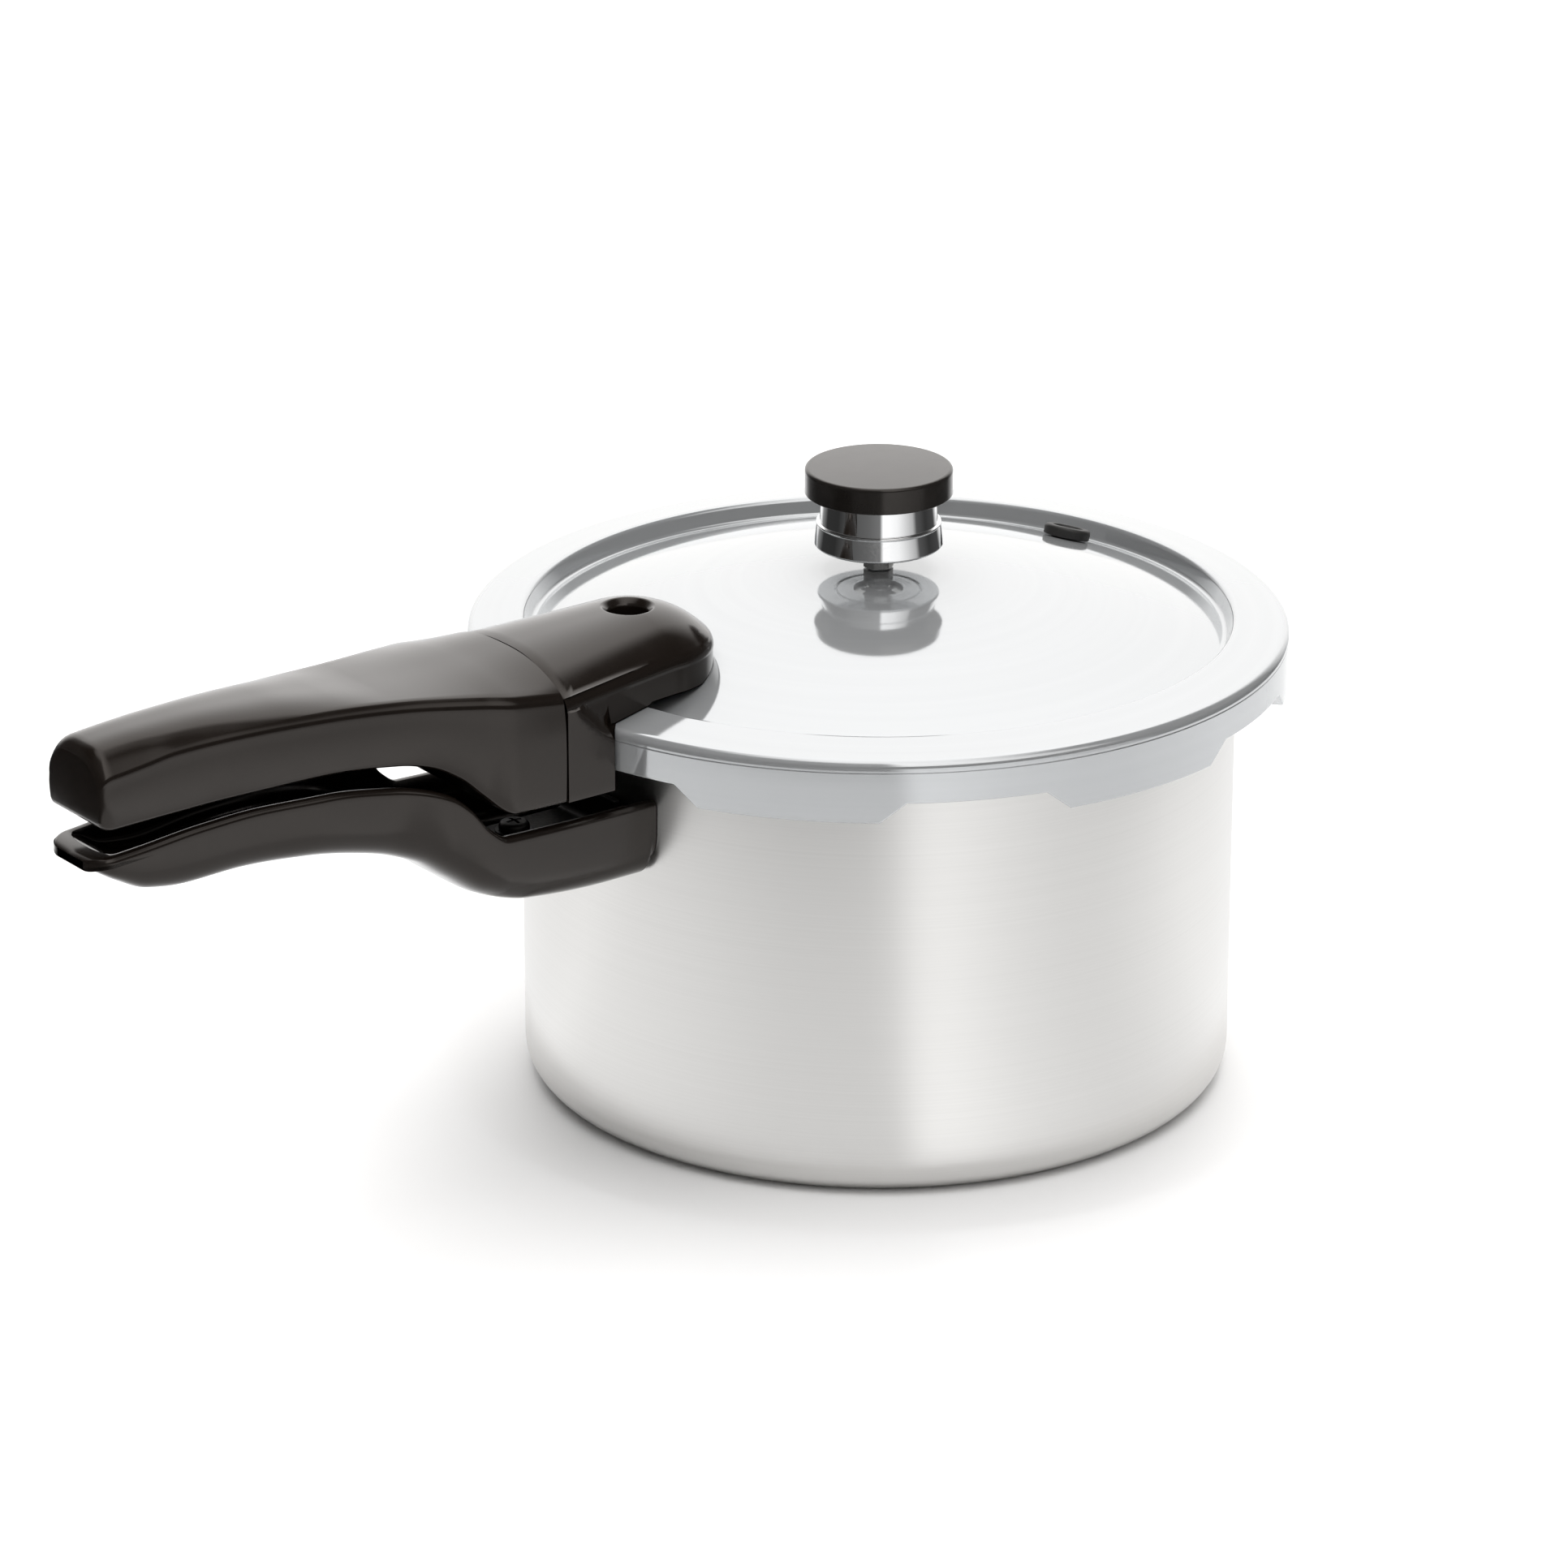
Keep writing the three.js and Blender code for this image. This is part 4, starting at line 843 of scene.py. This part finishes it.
# ---------------------------------------------------------------- cover handle, front moulding
# Phenolic hood over the air vent. Its nose rests on the dome, and a block at its outer end hangs
# beside the skirt, where the grip is screwed on.

SEAM = 131.0
SEAM_GAP = 0.8
ROLL = 1.8
ROLL_FROM = 37
NOSE = 24.0
SEAM_HALF = 30.0
CROWN = 159.1
EDGE_FALL = 8.2
KEEL = 119.0
CLEAR = 0.35


def hood_half_width(out):
    """Half width of the hood's plan: 24 mm at the vent, widening by a gentle power to the seam."""
    t = np.clip((out - VENT_OUT) / (SEAM - VENT_OUT), 0, 1)
    return NOSE + (SEAM_HALF - NOSE) * t ** 1.12


def hood_top(out, across):
    """Height of the hood's crown: the spine's height less 8.2 mm times the share of the way to the
    edge, to the power 2.6. The share is measured across the hood, and round the nose from the vent."""
    spine = CROWN - 0.042 * np.clip(out - VENT_OUT, 0, None)
    beside = np.abs(across) / (hood_half_width(out) - ROLL)
    share = np.where(out >= VENT_OUT, beside, np.hypot(out - VENT_OUT, across) / (NOSE - ROLL))
    return spine - EDGE_FALL * np.clip(share, 0, 1) ** 2.6


def hood_under(out, across):
    """Height of the hood's lower edge: just clear of the dome, the rim and the skirt."""
    radius = np.hypot(out, across)
    over_dome = np.maximum(dome(np.minimum(radius, 101)) + CLEAR, 139.6)
    over_rim = RIM_IN - 2.2 * (radius - 102) / 16 + CLEAR
    step = np.clip((radius - 101.3) / 1.2, 0, 1)
    step = step * step * (3 - 2 * step)
    return np.where(radius < 118.3, over_dome * (1 - step) + np.minimum(over_rim, over_dome) * step, KEEL)


end = SEAM - SEAM_GAP / 2
side_places = np.concatenate([
    np.linspace(end, 117, 26), np.linspace(116.4, 114.4, 9), [114.15, 113.9], np.linspace(112.9, 100, 16),
    np.linspace(99.6, 97, 14), np.linspace(96, VENT_OUT, 10, endpoint=False),
])
nose_turn = np.radians(np.linspace(90, -90, 61))
side = np.stack([side_places, hood_half_width(side_places)], 1)
nose_line = np.stack([VENT_OUT - NOSE * np.cos(nose_turn), NOSE * np.sin(nose_turn)], 1)
seam_line = np.stack([np.full(31, end), np.linspace(-SEAM_HALF, SEAM_HALF, 33)[1:-1]], 1)
outline = np.vstack([side, nose_line, side[::-1] * np.array([1, -1]), seam_line])
on_seam = outline[:, 0] > end - 1e-6
ahead = np.roll(outline, -1, 0) - np.roll(outline, 1, 0)
inward = np.stack([-ahead[:, 1], ahead[:, 0]], 1) / np.linalg.norm(ahead, axis=1)[:, None]
inward *= np.sign(((np.array([VENT_OUT + 20, 0]) - outline) * inward).sum(1))[:, None]
inward[on_seam] = np.stack([0 * outline[on_seam, 1], -outline[on_seam, 1] / SEAM_HALF], 1)

WINDOW = 5.5
centre = np.array([VENT_OUT, 0])
ray = outline - centre
reach = np.linalg.norm(ray, axis=1)[:, None]
way = ray / reach


def crown_row(share):
    """Points that share of the way from the window's rim to the hood's edge, on the crown."""
    spot = centre + way * (WINDOW + 2.6 + (reach - ROLL - WINDOW - 2.6) * share)
    return np.column_stack([spot, hood_top(spot[:, 0], spot[:, 1])])


def edge_row(inset, drop):
    """Points inset from the hood's edge and below its crown line."""
    spot = outline + inward * inset
    crest = hood_top(outline[:, 0], outline[:, 1])
    return np.column_stack([spot, crest - drop])


def window_row(radius, drop):
    """A ring of the window's bore, below the crown at its middle."""
    spot = centre + way * radius
    level = hood_top(spot[:, 0], spot[:, 1])
    return np.column_stack([spot, level - drop])


under_edge = hood_under(outline[:, 0], outline[:, 1])
wall_top = hood_top(outline[:, 0], outline[:, 1]) - 4.0
block_line = 137 + (outline[:, 0] - 116) * 0.875


def wall_row(share, inset=0.2):
    """The side wall, that share of the way from the edge's roll down to the lower edge. It swells
    out to 30.6 mm where the block beside the skirt begins, across a soft slanting ridge."""
    level = wall_top + (under_edge - wall_top) * share
    t = np.clip((block_line - level) / 5 + 0.5, 0, 1) * np.clip((outline[:, 0] - 112.5) / 1.5, 0, 1)
    swell = (30.6 - np.abs(outline[:, 1])) * t * t * (3 - 2 * t)
    swell = np.where(on_seam, swell * np.abs(outline[:, 1]) / SEAM_HALF, swell)
    swell = np.clip(swell, 0, None) * np.sign(outline[:, 1])
    spot = outline + inward * inset * (1 - t)[:, None]
    return np.column_stack([spot[:, 0], spot[:, 1] + swell, level])


inner = centre + way * 9
foot = wall_row(1.0)[:, :2]
span = inner - foot
a, b, c = (span ** 2).sum(1), 2 * (foot * span).sum(1), (foot ** 2).sum(1) - 118.3 ** 2
root = (-b - np.sqrt(np.maximum(b * b - 4 * a * c, 0))) / (2 * a)
crossing = foot + span * np.where(c > 0, np.clip(root, 0, 1), 0)[:, None]
over_rim = hood_under(*(crossing * 0.9995).T)
inner_level = hood_under(inner[:, 0], inner[:, 1])
ceiling = CROWN - 6.5

rows = [window_row(WINDOW + wider, drop) for wider, drop in (
    (0, 5.0), (0, 2.4), (0.15, 1.9), (0.5, 1.5), (1.1, 0.9), (1.7, 0.3), (2.05, 0.06), (2.3, 0.01)
)]
rows += [crown_row(share) for share in np.linspace(0, 1, 20)]
roll_start = math.radians(ROLL_FROM)
roll = ROLL / (1 - math.sin(roll_start))
ROLL_DROP = roll * math.cos(roll_start)
rows += [
    edge_row(roll * (1 - math.sin(b)), ROLL_DROP - roll * math.cos(b))
    for b in np.linspace(roll_start, math.pi / 2, 10)[1:]
]
rows += [wall_row(share) for share in (
    0, 0.05, 0.12, 0.2, 0.28, 0.36, 0.44, 0.52, 0.6, 0.7, 0.8, 0.9, 0.97
)]
rows += [
    wall_row(1.0) + np.column_stack([inward * 0.12, np.full(len(outline), 0.12)]),
    np.column_stack([foot + inward * 0.5, under_edge]), np.column_stack([crossing, under_edge]),
    np.column_stack([crossing, over_rim]), np.column_stack([inner, inner_level]),
    np.column_stack([inner, np.full(len(inner), ceiling)]), window_row(WINDOW, 6.5),
]
hood = surface("cover_handle_hood", handle_places(np.stack(rows)), "cover", along=True, crease=34)
BRACKET_CLEAR = (100, -11.3, 100), (146.3, 11.3, 122.5)
cut(hood, block_tool(*BRACKET_CLEAR))
hood.data.materials.append(phenolic)
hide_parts("cover_handle_front")

# ---------------------------------------------------------------- cover handle, grip
# Solid phenolic moulding for the hand, waisted behind the seam, with a flat end. A long screw
# through the hood ties it on, and a second one comes up through the bracket's tab.

GRIP_END = 269.0
GRIP_CROWN = [
    (131, 157.3), (145, 156.2), (160, 155.8), (178, 156.4), (195, 158.4), (212, 160.2), (235, 161.0),
    (252, 160.6), (261, 160.0), (269, 159.0),
]
GRIP_EDGE = [
    (131, 149.1), (145, 150.9), (158, 152.6), (178, 154.6), (201, 156.0), (223, 156.6), (245, 156),
    (255, 154.6), (262, 153.7), (269, 153.0),
]
GRIP_HALF = [
    (131, 30), (146, 29.5), (155, 27), (178, 21), (195, 18.5), (223, 16), (240, 14.4), (255, 13.8), (269, 13.6),
]
GRIP_KEEL = [
    (131, 119), (147, 119), (149, 119.6), (156, 125.6), (162, 131.2), (170, 135.6), (179, 137.6),
    (201, 139.1), (223, 138.8), (246, 137.9), (269, 137.2),
]
END_ROUND = 4.2

start = SEAM + SEAM_GAP / 2
turn_in = np.radians(np.linspace(0, 90, 9))
places = np.concatenate([
    np.linspace(start, 145, 14), np.linspace(145.6, 180, 60),
    np.linspace(182, GRIP_END - END_ROUND - 0.6, 60),
    GRIP_END - END_ROUND * (1 - np.sin(turn_in)),
])
pull = np.concatenate([np.zeros(len(places) - len(turn_in)), END_ROUND * (1 - np.cos(turn_in))])
half = eased(GRIP_HALF, places) - 0.3 * pull
crown = eased(GRIP_CROWN, places) - pull
edge = np.minimum(eased(GRIP_EDGE, places) - pull, crown - 0.3)
keel = eased(GRIP_KEEL, places) + 0.6 * pull
roll = eased([(131, 4.5), (150, 4.2), (185, 3.8), (269, 3.8)], places)
power = eased([(131, 2.6), (170, 2.8), (215, 3.3), (269, 3.3)], places)
roll_start = np.arctan((crown - edge - 0.8) * power / (half - 1.4)).clip(0.4, 1.0)
body = half - roll * (1 - np.sin(roll_start))
edge = np.minimum(edge - 2.2 + roll * np.cos(roll_start), crown - 0.3)
near_seam = np.clip((150 - places) / 12, 0, 1)
swell = 0.6 * near_seam


def grip_section():
    """Half of the grip's section from the middle of its crown out, down the side and in to the
    middle of its underside, as (across, up) for every place at once. The crown falls from the
    spine to the edge by a power of the share across, as the hood's does."""
    section = [(body * s, crown - (crown - edge) * s ** power) for s in np.linspace(0, 1, 14)]
    for t in np.linspace(0, 1, 10)[1:]:
        b = roll_start + (math.pi / 2 - roll_start) * t
        section.append((half - roll * (1 - np.sin(b)), edge - roll * (np.cos(roll_start) - np.cos(b))))
    top = edge - roll * np.cos(roll_start)
    wall = half - 0.1
    foot = np.minimum(1.4, (edge - keel) * 0.25)
    for s in np.linspace(0.08, 1, 9):
        level = top + (keel + foot - top) * s
        bulge = swell * np.clip((149 - level) / 8, 0, 1) + 0.35 * np.sin(np.pi * s)
        section.append((wall + bulge, level))
    last = wall + swell
    for b in np.radians(np.linspace(15, 90, 6)):
        section.append((last - foot * (1 - math.cos(b)), keel + foot * (1 - math.sin(b))))
    section += [((last - foot) * s, keel) for s in (0.85, 0.6, 0.3, 0.0)]
    return np.stack([np.stack(np.broadcast_arrays(*point), -1) for point in section], 1)


half_loop = grip_section()
loop = np.concatenate([half_loop[:, :-1], half_loop[:, :0:-1] * np.array([-1, 1])], 1)
grid = np.concatenate([np.broadcast_to(places[:, None, None], (*loop.shape[:2], 1)), loop], -1)
grip = surface("cover_handle_grip_moulding", handle_places(grid), "cover", lids=(0, -1), crease=34)
cut(grip, block_tool(*BRACKET_CLEAR))
grip.data.materials.append(phenolic)
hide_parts("cover_handle_grip")

# ---------------------------------------------------------------- cover bracket and screws
# A steel angle welded to the skirt carries the handle. One screw comes up through the dome with a
# seal under its head, one up through the bracket's tab, and one ties hood and grip together.

tab_low, tab_high = (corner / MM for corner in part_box("cover_bracket"))
tab_up = tab_low.z + 1
upright_out = -tab_high.x + 1
path = rounded([(upright_out, tab_high.z, 0), (upright_out, tab_up, 3), (-tab_low.x, tab_up, 0)])
strip = bent_strip("cover_angle", path, 2, np.full(len(path), 11.0), "cover")
REAR_OUT = SEAM + 7
FRONT_OUT = VENT_OUT - 15
cut(strip, drill_bit(2.3, 100, 140, REAR_OUT))
soften(strip, 0.3)
strip.data.materials.append(zinc_plate)
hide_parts("cover_bracket")

low, high = (corner.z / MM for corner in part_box("cover_screw_rear"))
screw(
    "rear_screw", "cover_screw_rear", "cover", high - low - HEAD_TALL, (-REAR_OUT, 0),
    low + HEAD_TALL, bright_steel,
)
low, high = (corner.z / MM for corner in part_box("cover_screw_front"))
screw(
    "front_screw", "cover_screw_front", "cover", high - low - HEAD_TALL, (-FRONT_OUT, 0),
    low + HEAD_TALL, bright_steel,
)
low, high = (corner.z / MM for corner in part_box("cover_screw_seal"))
washer(
    "front_screw_seal", "cover_screw_seal", "cover", 2.3, 4.5, low, high, (-FRONT_OUT, 0),
    black_rubber,
)
tie_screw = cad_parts["handle_tie_screw"]
tie_screw.data.materials.clear()
tie_screw.data.materials.append(bright_steel)

# ---------------------------------------------------------------- pressure regulator
# A chromed weight in two tiers hangs from a needle that closes the vent pipe. A spring clip in its
# mouth keeps it over the pipe, and a phenolic cap is pressed on top.

BASE = DOME_TOP
weight_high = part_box("regulator_weight")[1] / MM
needle_low, needle_high = (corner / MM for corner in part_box("regulator_needle"))
cap_low, cap_high = (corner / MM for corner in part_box("regulator_cap"))
bottom = BASE + 7.2
ridge = BASE + 13.9
weight = turned("weight", rounded([
    (0, weight_high.z, 0), (7, weight_high.z, 0.4), (7, BASE + 23.1, 0.3), (16.2, BASE + 23.1, 0.4),
    (17.0, ridge + 0.4, 0.3), (17.9, ridge + 0.3, 0.25), (17.9, ridge - 0.25, 0.25),
    (17.7, ridge - 0.4, 0.1), (18.6, bottom + 0.5, 0.5), (18.1, bottom, 0.3), (13.2, bottom, 0.15),
    (13.2, bottom + 1.4, 0.1), (12.5, bottom + 1.4, 0.1), (12.5, bottom + 0.3, 0.2),
    (10.4, bottom + 0.3, 0.05), (10.3, bottom + 0.45, 0.05), (10.2, bottom + 0.3, 0.05),
    (9.1, bottom + 0.3, 0.05), (9.0, bottom + 0.45, 0.05), (8.9, bottom + 0.3, 0.05),
    (7.5, bottom + 0.3, 0.2), (7.5, BASE + 19, 0.8), (3, BASE + 19, 0.3),
    (3, needle_high.z + 0.3, 0.2), (0, needle_high.z + 0.3, 0),
], steps=5), "regulator")
chrome = material(
    "chrome_plate", 1.0,
    lambda tree: ramp(tree, blotches(tree, 90), [(0.3, (0.80, 0.805, 0.81)), (0.7, (0.83, 0.835, 0.84))]),
    lambda tree: ramp(tree, blotches(tree, 1200), [(0.3, 0.03), (0.7, 0.06)]),
    lambda tree: (blotches(tree, 700, 3.0), 0.03, 0.005),
)
weight.data.materials.append(chrome)
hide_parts("regulator_weight")

needle = turned("needle_pin", rounded([
    (0, needle_low.z, 0), (2, needle_low.z + 2.6, 0.3), (2, needle_high.z, 0.5), (0, needle_high.z, 0),
]), "needle", angles=HEX_TURN)
needle.data.materials.append(bright_steel)
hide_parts("regulator_needle")

clip_low, clip_high = (corner.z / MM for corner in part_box("regulator_clip"))
star = 4.9 + 0.9 * np.cos(np.radians(HEX_TURN * 6))
clip_path = np.array([
    (1, clip_low), (7.1, clip_low), (7.2, clip_low + 0.1), (7.2, clip_high - 0.1), (7.1, clip_high),
    (1, clip_high),
])
clip_rows = np.repeat(clip_path[:, None], len(HEX_TURN), 1)
clip_rows[[0, -1], :, 0] = star
clip = turned("spring_clip", clip_rows, "regulator", ring=True, angles=HEX_TURN)
clip.data.materials.append(bright_steel)
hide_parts("regulator_clip")

cap = turned("cap", rounded([
    (0, weight_high.z + 0.3, 0), (7.3, weight_high.z + 0.3, 0.2), (7.3, cap_low.z, 0.3),
    (18.3, cap_low.z, 0.2), (18.3, cap_low.z - 0.7, 0.3), (21.2, cap_low.z - 0.7, 0.3),
    (21.2, cap_high.z + 0.3, 1.0), (0, cap_high.z + 0.8, 0),
], steps=7), "regulator")
cap_phenolic = material(
    "cap_phenolic", 0.0,
    lambda tree: ramp(tree, blotches(tree, 60), [(0.3, (0.010, 0.009, 0.008)), (0.7, (0.014, 0.012, 0.011))]),
    lambda tree: ramp(tree, blotches(tree, 300, 6.0), [(0.3, 0.16), (0.7, 0.22)]),
    lambda tree: (blotches(tree, 2200, 3.0), 0.2, 0.03),
    IOR=1.38, Specular_Tint=(1.0, 0.92, 0.86, 1), Coat_Weight=0.3, Coat_Roughness=0.08, Coat_IOR=1.3,
)
cap.data.materials.append(cap_phenolic)
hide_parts("regulator_cap")
